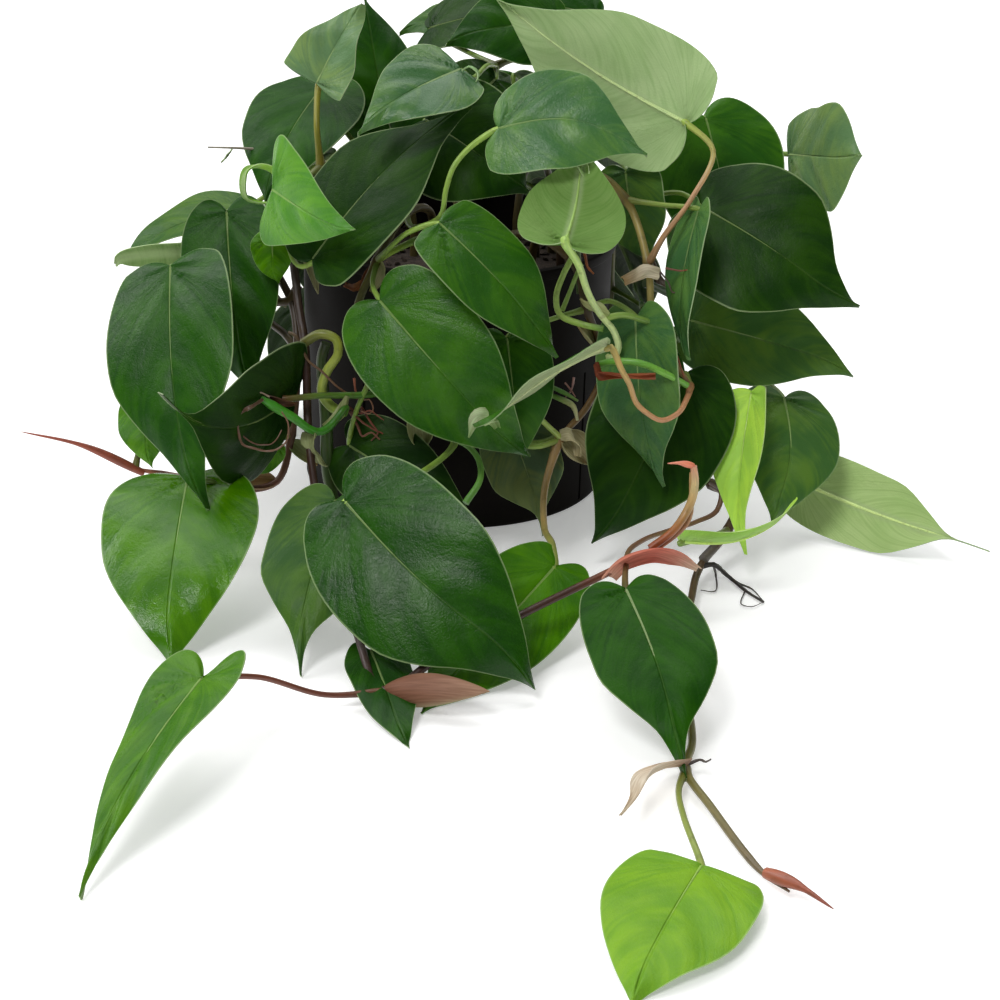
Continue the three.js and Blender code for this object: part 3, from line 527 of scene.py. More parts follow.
        "shoots": [
            dict(points=[(-58, -36, 165), (-84, -14, 165), (-101, -18, 167), (-117, -22, 168)], radius=[1.2,
                     0.9, 0.7, 0.35], colours=["#6a6450", "#7a7464", "#8a8678"]),
        ],
    },
    "top_vine": {
        "soil": (0, 6),
        "route": [(-2, 6, 150), (-2, 2, 178), (6, -8, 198), (16, -14, 208), (36, 2, 212)],
        "curled": [
            dict(points=[(2, -68, 216), (5, -68, 218), (9, -69, 216), (9, -70, 213), (7, -71, 210)],
                 width=3, across=(0, 20), hollow=0.9, shape=[0.2, 0.8, 1.0, 0.9, 0.3], colours=["#6f9a5a",
                     "#94b87c", "#a4c48c", "#86ac6c"]),
        ],
        "leaves": [
            dict(tone="sheen", base=(1, -64, 216), tip=(-42, -95, 196), width=42, lobes=0.3, faces=(-8, 48),
                 gloss=1.7, slim=0.25, drip=0.4, fold=8, bow=0.06, node=4, stalk=[(12, -36, 212),
                     (6, -54, 210)]),
            dict(tone="deep", base=(-32, 4, 167), tip=(-46, 14, 232), width=44, faces=(-20, 20), fold=8,
                 bow=0.05, node=2, stalk=[(-20, 0, 166)]),
            dict(tone="slate", base=(5, 38, 218), tip=(-31, 28, 217), width=26, faces=(0, 60), fold=6,
                 bow=0.05, node=5, stalk=[(22, 28, 216)]),
            dict(tone="dark", base=(-16, 24, 218), tip=(31, 8, 229), width=44, faces=(0, 62), fold=6,
                 bow=0.05, node=4),
            dict(tone="deep", base=(45, -4, 227), tip=(-6, -28, 223), width=42, faces=(10, 40), fold=6,
                 bow=0.05, node=5),
            dict(tone="dark", base=(16, -30, 205), tip=(-8, -44, 180), width=38, faces=(0, 30), fold=6,
                 bow=0.05, node=4),
            dict(tone="deep", base=(63, 30, 225), tip=(27, 28, 230), width=28, faces=(0, 50), fold=6,
                 bow=0.05, node=5),
            dict(tone="dark", gloss=0.0, base=(-14, -54, 191), tip=(32, -74, 165), width=62, faces=(0, 40),
                 fold=6, bow=0.05, node=2, stalk=[(-8, -24, 178), (-12, -46, 187)]),
        ],
    },
    "top_right_vine": {
        "soil": (38, 14),
        "route": [(54, 12, 150), (78, 2, 172), (98, -6, 180), (122, -6, 174)],
        "leaves": [
            dict(tone="mid", base=(114, -20, 188), tip=(132, -45, 116), width=66, faces=(18, 22), fold=6,
                 bow=0.06, node=3),
            dict(tone="sheen_grey", base=(157, 2, 167), tip=(181, -40, 176), width=36, faces=(-58, 4),
                 gloss=0.7, slim=-1.0, drip=-0.5, lobes=0.4, fold=4, bow=0.03, node=4,
                 stalk=[(142, 2, 168)]),
            dict(tone="grey", base=(76, -54, 170), tip=(86, -64, 130), width=38, faces=(-40, 20), fold=6,
                 bow=0.04, node=2, stalk=[(72, -28, 172)]),
        ],
    },
}

# Vines that hang over the back of the rim: the way each one hangs, in degrees from the front, how far
# it drops below the table's heights, the size of its leaves and the first leaf that it bears.
BACK_VINES = {
    "right_side_vine": dict(turn=118, drop=3, size=0.98, first_leaf=0),
    "right_back_vine": dict(turn=147, drop=-5, size=0.88, first_leaf=0),
    "back_vine": dict(turn=178, drop=7, size=1.0, first_leaf=0),
    "left_back_vine": dict(turn=210, drop=-3, size=0.93, first_leaf=0),
    "left_side_vine": dict(turn=242, drop=10, size=0.96, first_leaf=1),
}
BACK_SOIL_OUT = 52
BACK_ROUTE = [(60, 146), (76, 144), (86, 120), (88, 86), (88, 56), (92, 34)]
BACK_WIDTH_SHARE = 0.7
# Leaves of a back vine: turn aside, distance from the axis, height, lean outward, length.
BACK_LEAVES = [
    dict(tone="mid", aside=13, out=72, height=184, lean=52, length=60, node=1),
    dict(tone="deep", aside=-14, out=88, height=158, lean=44, length=74, node=2),
    dict(tone="dark", aside=12, out=96, height=122, lean=26, length=76, node=3),
    dict(tone="mid", aside=-12, out=99, height=84, lean=22, length=72, node=4),
    dict(tone="bright_mid", aside=2, out=97, height=56, lean=36, length=56, node=5),
]


class LeafSettings(bpy.types.PropertyGroup):
    thickness: FloatProperty(name="Blade thickness", description="Thickness of a leaf blade",
                             default=0.00045, unit="LENGTH")
    rib_radius: FloatProperty(name="Midrib radius", description="Radius of the raised midrib under a leaf",
                              default=0.0008, unit="LENGTH")
    pleat: FloatProperty(name="Pleat depth", description="Depth of the soft furrows over the side veins",
                         default=0.0008, unit="LENGTH")
    wave: FloatProperty(name="Margin wave", description="Height of the waves in a leaf's margin",
                        default=0.0011, unit="LENGTH")
    arch: FloatProperty(name="Arch", default=0.05,
                        description="How far each half droops to its margin, as a share of width")
    rows: IntProperty(name="Rows", description="Rows of faces along a leaf", default=48)
    halves: IntProperty(name="Columns", description="Columns of faces in half a leaf", default=12)


class VineSettings(bpy.types.PropertyGroup):
    stem_radius: FloatProperty(name="Stem radius", description="Radius of a vine's stem between its nodes",
                               default=0.0021, unit="LENGTH")
    stalk_radius: FloatProperty(name="Stalk radius", description="Radius of a leaf stalk",
                                default=0.00135, unit="LENGTH")
    node_swell: FloatProperty(name="Node swelling", description="Extra stem radius at a node, as a share",
                              default=0.42)
    stem_sides: IntProperty(name="Stem sides", description="Faces round a stem", default=10)


class PotSettings(bpy.types.PropertyGroup):
    radius: FloatProperty(name="Pot radius", description="Outer radius of the pot", default=0.075,
                          unit="LENGTH")
    height: FloatProperty(name="Pot height", description="Height of the pot", default=0.126, unit="LENGTH")
    wall: FloatProperty(name="Wall", description="Thickness of the pot's wall", default=0.0024,
                        unit="LENGTH")
    lip: FloatProperty(name="Rim lip", description="How far the rim stands out", default=0.0016,
                       unit="LENGTH")
    rim_depth: FloatProperty(name="Rim depth", description="Height of the rim's band", default=0.005,
                             unit="LENGTH")
    groove_from: FloatProperty(name="Groove foot", description="Height at which the grooves start",
                               default=0.003, unit="LENGTH")
    groove_to: FloatProperty(name="Groove top", description="Height at which the grooves end",
                             default=0.069, unit="LENGTH")
    groove_depth: FloatProperty(name="Groove depth", description="Depth of the upright grooves",
                                default=0.0008, unit="LENGTH")
    colour: FloatVectorProperty(name="Pot colour", description="Colour of the pot's plastic",
                                subtype="COLOR", size=3, default=(0.0062, 0.0052, 0.0044), min=0, max=1)


class SoilSettings(bpy.types.PropertyGroup):
    top: FloatProperty(name="Soil height", description="Height of the soil in the pot", default=0.112,
                       unit="LENGTH")
    crumbs: IntProperty(name="Crumbs", description="Loose crumbs and bark chips on the soil", default=420)
    colour: FloatVectorProperty(name="Soil colour", description="Colour of the damp potting soil",
                                subtype="COLOR", size=3, default=(0.022, 0.013, 0.008), min=0, max=1)


class StageSettings(bpy.types.PropertyGroup):
    floor_size: FloatProperty(name="Floor size", description="Side of the pale floor", default=600.0,
                              unit="LENGTH")
    daylight: FloatProperty(name="Surrounding light", description="Strength of the even white light",
                            default=0.20)
    diffusers: FloatProperty(name="Diffusers", description="Strength of the wide soft lights",
                             default=1.0)


def linear(text):
    """An sRGB hex colour as linear red, green and blue."""
    shares = [int(text[i:i + 2], 16) / 255 for i in (1, 3, 5)]
    return tuple(s / 12.92 if s <= 0.04045 else ((s + 0.055) / 1.055) ** 2.4 for s in shares)


def linear_tones(texts):
    return [linear(text) for text in texts]


def places(points):
    return [Vector(point) for point in points]


def mixed(a, b, share):
    return tuple(p + (q - p) * share for p, q in zip(a, b))


def along_tones(tones, share):
    """The colour at a share of the way through evenly spaced colours."""
    place = min(max(share, 0.0), 1.0) * (len(tones) - 1)
    i = min(int(place), len(tones) - 2) if len(tones) > 1 else 0
    return mixed(tones[i], tones[min(i + 1, len(tones) - 1)], place - i)


def facing(turn, rise):
    """Unit vector that looks turn degrees to the right of the front and rise degrees up."""
    level = math.cos(math.radians(rise))
    return Vector((math.sin(math.radians(turn)) * level, -math.cos(math.radians(turn)) * level,
                   math.sin(math.radians(rise))))


def through(values, share):
    """A value on the smooth curve through evenly spaced values."""
    spans = len(values) - 1
    place = min(max(share, 0.0), 1.0) * spans
    i = min(int(place), spans - 1)
    f = place - i
    a, b, c, d = (values[min(max(k, 0), spans)] for k in (i - 1, i, i + 1, i + 2))
    return 0.5 * (2 * b + (c - a) * f + (2 * a - 5 * b + 4 * c - d) * f * f
                  + (3 * b - a - 3 * c + d) * f ** 3)


def smooth_line(points, spacing):
    """Points every few millimetres along the centripetal curve through the given ones."""
    ends = [2 * points[0] - points[1], *points, 2 * points[-1] - points[-2]]
    line = [points[0].copy()]
    for a, b, c, d in zip(ends, ends[1:], ends[2:], ends[3:]):
        t1 = math.sqrt((b - a).length)
        t2 = t1 + math.sqrt((c - b).length)
        t3 = t2 + math.sqrt((d - c).length)
        steps = max(2, round((c - b).length / spacing))
        for k in range(1, steps + 1):
            t = t1 + (t2 - t1) * k / steps
            p = a + (b - a) * (t / t1)
            q = b + (c - b) * ((t - t1) / (t2 - t1))
            r = c + (d - c) * ((t - t2) / (t3 - t2))
            p = p + (q - p) * (t / t2)
            q = q + (r - q) * ((t - t1) / (t3 - t1))
            line.append(p + (q - p) * ((t - t1) / (t2 - t1)))
    return line


def select_only(pieces):
    bpy.ops.object.select_all(action="DESELECT")
    for piece in pieces:
        piece.select_set(True)
    bpy.context.view_layer.objects.active = pieces[0]


def choose_faces(piece, wanted):
    """In edit mode, selects the faces for which wanted(face, middle) holds."""
    bpy.ops.mesh.select_all(action="DESELECT")
    bpy.ops.mesh.select_mode(type="FACE")
    for face in bmesh.from_edit_mesh(piece.data).faces:
        face.select_set(bool(wanted(face, face.calc_center_median())))
    bmesh.update_edit_mesh(piece.data)


def choose_ring(piece, out, level):
    """In edit mode, selects the ring of edges at a distance from the axis and a height."""
    bpy.ops.mesh.select_all(action="DESELECT")
    bpy.ops.mesh.select_mode(type="EDGE")
    for edge in bmesh.from_edit_mesh(piece.data).edges:
        edge.select_set(all(abs(corner.co.xy.length - out) < 2e-5 and abs(corner.co.z - level) < 1e-5
                            for corner in edge.verts))
    bmesh.update_edit_mesh(piece.data)


def shaped_sheet(name, across, along, rule):
    """A grid whose points a rule puts in place. The rule takes the share along, 0 to 1, and the share
    across, -1 to 1, and gives the place in millimetres, the form numbers and the colour."""
    bpy.ops.object.select_all(action="DESELECT")
    bpy.ops.mesh.primitive_grid_add(x_subdivisions=across, y_subdivisions=along, size=2)
    sheet = bpy.context.object
    sheet.name = sheet.data.name = name
    sheet.data.attributes.new("form", "FLOAT_VECTOR", "POINT")
    sheet.data.attributes.new("tone", "FLOAT_COLOR", "POINT")
    form = sheet.data.attributes["form"].data
    tone = sheet.data.attributes["tone"].data
    for i, vertex in enumerate(sheet.data.vertices):
        place, numbers, colour = rule((vertex.co.y + 1) / 2, vertex.co.x)
        vertex.co = place * MM
        vertex.co.z = max(vertex.co.z, FLOOR_CLEARANCE)
        form[i].vector = numbers
        tone[i].color = colour
    return sheet


def tidy_mesh(piece, outward):
    """Joins doubled points and, for a closed shape, turns its faces outwards."""
    select_only([piece])
    bpy.ops.object.mode_set(mode="EDIT")
    bpy.ops.mesh.select_all(action="SELECT")
    bpy.ops.mesh.remove_doubles(threshold=2e-6)
    if outward:
        bpy.ops.mesh.normals_make_consistent(inside=False)
    bpy.ops.object.mode_set(mode="OBJECT")


def tube(name, line, radii, colours, sides):
    """A closed tube along a line of points, with a radius and a colour at each."""
    line = [line[0], *line, line[-1]]
    radii = [0.0, *radii, 0.0]
    colours = [colours[0], *colours, colours[-1]]
    last = len(line) - 1
    sides_of = []
    side = Vector((0.3, 0.2, 1.0))
    along = 0.0
    lengths = []
    for i, point in enumerate(line):
        way = (line[min(i + 1, last)] - line[max(i - 1, 0)])
        if way.length < 1e-6:
            way = line[min(i + 2, last)] - line[max(i - 2, 0)]
        way.normalize()
        side = side - way * side.dot(way)
        if side.length < 1e-3:
            side = way.orthogonal()
        side.normalize()
        sides_of.append((side.copy(), way.cross(side)))
        along += (point - line[max(i - 1, 0)]).length
        lengths.append(along)

    def rule(u, v):
        i = round(u * last)
        angle = math.pi * (v + 1)
        first, second = sides_of[i]
        place = line[i] + (first * math.cos(angle) + second * math.sin(angle)) * radii[i]
        return place, (lengths[i], angle, radii[i]), (*colours[i], 1.0)

    piece = shaped_sheet(name, sides, last, rule)
    tidy_mesh(piece, True)
    return piece


def vein_number(share, across):
    """Where the side vein through a point meets the margin, as a share of the blade's length. The veins
    start along the midrib, the lowest ones at the notch, and sweep forward to the margin."""
    spread = abs(across) ** 1.3
    if share > spread / 2:
        return (share + 1 - spread) / (2 - spread)
    return max(-1.5, share / max(spread, 0.04))


def breadths(leaf):
    """The leaf's own outline: how far along and how wide each point of it is. Its lobes may be shorter, its
    shape straighter, its end half slimmer, and its last third drawn out into a drip tip."""
    reach = [s * leaf.get("lobes", 1.0) if s < 0 else s for s, _ in OUTLINE]
    arrow, slim, drip = leaf.get("arrow", 0.0), leaf.get("slim", 0.0), leaf.get("drip", 0.15)
    breadth = []
    for (s, b), a in zip(OUTLINE, ARROW):
        end = min(max((s - 0.5) / 0.36, 0.0), 1.0)
        breadth.append((b + (a - b) * arrow) * (1 - slim * max(0.0, s) * (1 + s) / 2)
                       * (1 - drip * end * end * (3 - 2 * end)))
    return reach, breadth


def blade_frame(leaf):
    """A blade's base, length and directions: to its tip, out of its face and across it."""
    start = Vector(leaf["base"])
    chord = Vector(leaf["tip"]) - start
    along = chord.normalized()
    up = facing(*leaf["faces"])
    up = (up - along * up.dot(along)).normalized()
    return start, chord.length, along, up, up.cross(along)


def blade_place(leaf, share, side, spread, settings, phase):
    """A point of the blade's middle surface."""
    start, length, along, up, across = blade_frame(leaf)
    swell = length * math.sin(math.pi * min(max(share, 0.0), 1.0))
    soft = 1.2
    fold = (math.sqrt(side * side + soft * soft) - soft) * math.tan(math.radians(leaf["fold"]))
    height = leaf["bow"] * swell + fold
    height -= settings.arch * leaf["width"] * spread ** 2.2 * leaf.get("droop", 1.0)
    half_turn = math.copysign(1.3, side)
    wave = math.sin(2 * math.pi * (1.7 * share + phase) + half_turn)
    height += settings.wave / MM * leaf.get("wave", 1.0) * spread ** 2.5 * wave
    near_tip = max(0.0, share - 0.7) / 0.3
    height -= leaf.get("curl", 2.0) * near_tip ** 2
    side += leaf.get("hook", 1.5) * near_tip ** 2
    if side > 0:
        height += leaf.get("cup", 0.0) * spread ** 3
    vein = vein_number(share, spread)
    uneven = 0.65 + 0.35 * math.sin(5 * vein + 6 * phase + half_turn)
    height -= 0.4 * math.exp(-(side / 1.3) ** 2) * (1 - max(share, 0.0))
    height += settings.pleat / MM * math.cos(2 * math.pi * vein / 0.19) * min(1.0, 3 * spread) \
        * (1 - spread ** 4) * uneven * leaf.get("pleat", 1.0)
    sway = leaf.get("sway", 0) * swell
    return start + along * (share * length) + across * (side + sway) + up * height


def thicken(sheet, thickness, skinned):
    """Turns a sheet into a thin shell, with the second and third material under it and on its margin."""
    shell = sheet.modifiers.new("thickness", "SOLIDIFY")
    shell.thickness = thickness
    shell.offset = 0
    if skinned:
        shell.material_offset = 1
        shell.material_offset_rim = 2
    select_only([sheet])
    bpy.ops.object.modifier_apply(modifier=shell.name)


def colour_underside(sheet, colour=None):
    """Gives the underside its own colour, or else the upper side's."""
    tones = [tuple(spot.color) for spot in sheet.data.attributes["tone"].data]
    under = sheet.data.attributes.new("under", "FLOAT_COLOR", "POINT")
    for spot, tone in zip(under.data, tones):
        spot.color = (*colour, tone[3]) if colour else tone


def leaf_blade(name, leaf, skins, settings, seed):
    """One heart-shaped blade, folded along its midrib, with the raised midrib under it."""
    draw = random.Random(seed)
    phase = draw.random()
    colour = linear(TONES[leaf["tone"]])
    shade = draw.uniform(0.9, 1.1)
    colour = tuple(min(1.0, c * shade) for c in colour)
    under = linear(TONES[leaf["under"]]) if "under" in leaf else colour
    gloss = leaf.get("gloss", 0.4)
    reach, breadth = breadths(leaf)

    def rule(u, v):
        spread = abs(v) ** 1.35
        rib = through(RIBS, u)
        share = rib + (through(reach, u) - rib) * spread
        side = math.copysign(spread * through(breadth, u) * leaf["width"] / 2, v)
        place = blade_place(leaf, share, side, spread, settings, phase)
        return place, (vein_number(share, spread), side, spread), (*colour, gloss)

    sheet = shaped_sheet(name, 2 * settings.halves, settings.rows, rule)
    colour_underside(sheet, under)
    tidy_mesh(sheet, False)
    up = blade_frame(leaf)[3]
    normal = Vector()
    for polygon in sheet.data.polygons:
        normal += polygon.normal * polygon.area
    if normal.dot(up) < 0:
        sheet.data.flip_normals()
    for skin in skins:
        sheet.data.materials.append(skin)
    thicken(sheet, settings.thickness, True)

    line = []
    radii = []
    for k in range(RIB_RINGS + 1):
        share = RIB_REACH * k / RIB_RINGS
        point = blade_place(leaf, share, 0.0, 0.0, settings, phase)
        line.append(point - up * (settings.thickness / MM * 0.5 + 0.1))
        radii.append(settings.rib_radius / MM * (1 - share) ** 0.8 + 0.12)
    pale = mixed(under, linear(RIB_TONE), 0.4)
    rib = tube(name + "_rib", line, radii, [pale] * len(line), 6)
    rib.data.materials.append(skins[3])
    return [sheet, rib]


def stem_line(vine):
    x, y = vine["soil"]
    foot = [(x, y, height) for height in STEM_FOOT]
    return smooth_line(places([*foot, *vine["route"]]), STEM_STEP)


def nearest(line, point):
    return min(line, key=lambda spot: (spot - point).length)


def vine_stem(name, vine, line, bark, settings):
    """The stem with its swollen nodes, from the soil to its growing end."""
    radius = vine.get("girth", 1.0) * settings.stem_radius / MM
    nodes = [nearest(line, Vector(vine["route"][leaf["node"] - 1])) for leaf in vine["leaves"]]
    bark_tones = linear_tones(vine.get("bark", STEM_TONES))
    scar = linear(SCAR_TONE)
    radii = []
    colours = []
    for i, point in enumerate(line):
        share = i / (len(line) - 1)
        gap = min((point - node).length for node in nodes)
        swell = math.exp(-(gap / NODE_REACH) ** 2)
        thin = 1.0 - 0.28 * share - 0.5 * max(0.0, share - 0.96) / 0.04
        radii.append(radius * thin * (1 + settings.node_swell * swell))
        colours.append(mixed(along_tones(bark_tones, share), scar, 0.5 * swell))
    stem = tube(name, line, radii, colours, settings.stem_sides)
    stem.data.materials.append(bark)
    return stem


def leaf_stalk(name, vine, leaf, line, bark, settings):
    """The stalk of a leaf, from its node to the blade's notch, with a thicker joint at both ends."""
    root = nearest(line, Vector(vine["route"][leaf["node"] - 1]))
    start, _, along, up, _ = blade_frame(leaf)
    radius = leaf.get("stalk_girth", 1.0) * settings.stalk_radius / MM
    end = start + along * 2.6 - up * (0.5 + 0.5 * radius)
    before = start - along * 0.4 - up * (0.4 + radius)
    route = smooth_line([root, *places(leaf.get("stalk", [])), before, end], STALK_STEP)
    tones = linear_tones(leaf.get("stalk_tone", vine.get("stalk_tone", STALK_TONES)))
    brown = linear(STALK_FOOT_TONE)
    radii = []
    colours = []
    for i in range(len(route)):
        share = i / (len(route) - 1)
        ends = math.exp(-(share * 9) ** 2) * 0.35 + math.exp(-((1 - share) * 8) ** 2) * 0.18
        radii.append(radius * (1.05 - 0.2 * math.sin(math.pi * share) + ends))
        colours.append(mixed(along_tones(tones, share), brown, 0.4 * math.exp(-(share * 7) ** 2)))
    radii[-1] = radius * 0.5
    stalk = tube(name, route, radii, colours, 8)
    stalk.data.materials.append(bark)
    return stalk


def bract(name, line, sheath, paper, seed):
    """A papery sheath: a pointed boat-shaped sheet whose edges curl round the stem."""
    draw = random.Random(seed)
    start = nearest(line, Vector(sheath["start"]))
    end = Vector(sheath["end"])
    way = end - start
    length = way.length
    along = way.normalized()
    up = Vector((0.15, -0.8, 1.0))
    up = (up - along * up.dot(along)).normalized()
    across = up.cross(along)
    over = -1 if sheath.get("over") else 1
    tone = sheath.get("tone", SHEATH_TONE)
    colour = linear(tone)
    rim = linear(sheath.get("rim_tone", tone))
    tip_colour = linear(sheath.get("tip_tone", SHEATH_TIP_TONE))
    phase = draw.random()

    def rule(u, v):
        half = sheath["width"] / 2 * (math.sin(math.pi * u ** 0.75) ** 0.8 + 0.12 * (1 - u))
        angle = v * 1.5
        place = start + along * (u * length)
        place += across * (half * math.sin(angle)) + up * (over * half * (0.45 - math.cos(angle)) * 0.8)
        place += up * (0.35 * math.sin(7 * u + 5 * v + 6 * phase))
        place += up * (0.06 * length * math.sin(math.pi * u))
        shade = mixed(mixed(colour, tip_colour, u ** 3), rim, 0.8 * abs(v) ** 6)
        return place, (u * length, half * v, abs(v)), (*shade, 1.0)

    sheet = shaped_sheet(name, 12, 22, rule)
    tidy_mesh(sheet, False)
    sheet.data.materials.append(paper)
    thicken(sheet, SHEATH_THICKNESS, False)
    return sheet


def strip(name, ribbon, skins, seed):
    """A narrow strip of leaf or dried sheath that follows given points, hollow across and tapering to its
    end. Its width runs in the direction given by its turn and rise."""
    draw = random.Random(seed)
    line = smooth_line(places(ribbon["points"]), STRIP_STEP)
    last = len(line) - 1
    tones = linear_tones(ribbon["colours"])
    girths = ribbon.get("shape", [0.5, 1.0, 0.8, 0.05])
    hollow = ribbon.get("hollow", 0.9)
    phase = draw.random()

    def rule(u, v):
        i = round(u * last)
        way = (line[min(i + 1, last)] - line[max(i - 1, 0)]).normalized()
        across = facing(*ribbon["across"])
        across = (across - way * across.dot(way)).normalized()
        rise = way.cross(across)
        half = max(0.15, ribbon["width"] / 2 * through(girths, u))
        place = line[i] + across * (half * math.sin(v * hollow) / math.sin(hollow))
        place += rise * (half * (1 - math.cos(v * hollow)))
        place += rise * (ribbon.get("crumple", 0.3) * math.sin(9 * u + 4 * v + 6 * phase))
        return place, (u * 0.6 if len(skins) > 1 else u * last * STRIP_STEP, half * v, abs(v)), \
            (*along_tones(tones, u), 0.6)

    sheet = shaped_sheet(name, 10, last, rule)
    colour_underside(sheet)
    for skin in skins[:3]:
        sheet.data.materials.append(skin)
    thicken(sheet, STRIP_THICKNESS, len(skins) > 1)
    return sheet


def growing_tip(name, tip, bark):
    """A slim pointed bud wrapped in its own sheath, swollen above its foot."""
    start, end = Vector(tip["start"]), Vector(tip["end"])
    way = end - start
    middle = start + way * 0.5 + Vector((0, 0, 0.06 * way.length))
    line = smooth_line([start, middle, end], TIP_STEP)
    first, last = linear(tip["tone"]), linear(tip["tip_tone"])
    radii, colours = [], []
    for i in range(len(line)):
        share = i / (len(line) - 1)
        radii.append(tip["radius"] * (0.62 + 0.38 * math.sin(math.pi * min(1.0, share * 1.7)))
                     * (1 - share) ** 0.7 + 0.12)
        colours.append(mixed(first, last, share))
    bud = tube(name, line, radii, colours, 10)
    bud.data.materials.append(bark)
    return bud


def shoot(name, twig, bark):
    """A bare length of green stem or stalk between given points."""
    line = smooth_line(places(twig["points"]), SHOOT_STEP)
    tones = linear_tones(twig["colours"])
    colours = [along_tones(tones, i / (len(line) - 1)) for i in range(len(line))]
    girths = twig["radius"] if isinstance(twig["radius"], list) else [twig["radius"]] * 2
    radii = [through(girths, i / (len(line) - 1)) * (1 - 0.1 * math.sin(4 * i / len(line)))
             for i in range(len(line))]
    made = tube(name, line, radii, colours, 10)
    made.data.materials.append(bark)
    return made


def curly_root(name, root, bark, seed):
    """A thin dry aerial root, wandering from its node or curled into a ring."""
    draw = random.Random(seed)
    start = Vector(root["start"])
    points = [start]
    if "points" in root:
        points += places(root["points"])
    elif "ring" in root:
        centre = Vector(root["ring"])
        first = math.atan2(start.z - centre.z, start.x - centre.x)
        for k in range(1, RING_POINTS + 1):
            angle = first + root["turns"] * 2 * math.pi * k / RING_POINTS
            reach = root["radius"] * draw.uniform(0.9, 1.06)
            points.append(centre + Vector((reach * math.cos(angle), draw.uniform(-2, 2),
                                           reach * math.sin(angle))))
    else:
        way = Vector(root["heading"]).normalized()
        steps = max(3, round(root["length"] / 4))
        for _ in range(steps):
            bend = Vector([draw.uniform(-1, 1) for _ in range(3)])
            way = (way + bend * root.get("curl", 0.75)).normalized()
            points.append(points[-1] + way * root["length"] / steps)
    line = smooth_line(points, ROOT_STEP)
    girth = root.get("girth", 0.6)
    radii = [girth * (1 - 0.6 * i / len(line)) * draw.uniform(0.85, 1.15) for i in range(len(line))]
    old, young = linear_tones(root.get("colours", ROOT_TONES))
    colours = [mixed(old, young, i / len(line)) for i in range(len(line))]
    made = tube(name, line, radii, colours, 5)
    made.data.materials.append(bark)
    return made


def joined(name, pieces, node):
    """Joins pieces, smooths them and lets them stand for a node of the solid model."""
    select_only(pieces)
    if len(pieces) > 1:
        bpy.ops.object.join()
    whole = bpy.context.object
    whole.name = whole.data.name = name
    bpy.ops.object.shade_smooth_by_angle(angle=math.radians(48))
    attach(whole, "root")
    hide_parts(node)
    return whole


def add_node(tree, kind, inputs=None, output=0, **settings):
    """Adds a shader node, sets its options, sets or links its inputs and gives one of its outputs."""
    made = tree.nodes.new("ShaderNode" + kind)
    for key, value in settings.items():
        setattr(made, key, value)
    for key, value in (inputs or {}).items():
        if isinstance(value, bpy.types.NodeSocket):
            tree.links.new(value, made.inputs[key])
        else:
            made.inputs[key].default_value = value
    return made.outputs[output] if made.outputs else None


def new_material(name):
    material = bpy.data.materials.new(name)
    material.use_nodes = True
    material.node_tree.nodes.clear()
    return material, material.node_tree


def leaf_facts(tree, colour="tone"):
    """The blade's colour and gloss, and its vein number, distance from the midrib in millimetres and
    share across, from the attributes that follow the surface."""
    tone = add_node(tree, "Attribute", attribute_name=colour)
    form = add_node(tree, "Attribute", attribute_name="form", output="Vector")
    vein = add_node(tree, "SeparateXYZ", {0: form})
    side = add_node(tree, "Math", {0: vein.node.outputs[1]}, operation="ABSOLUTE")
    return tone, tone.node.outputs["Alpha"], vein, side, vein.node.outputs[2]


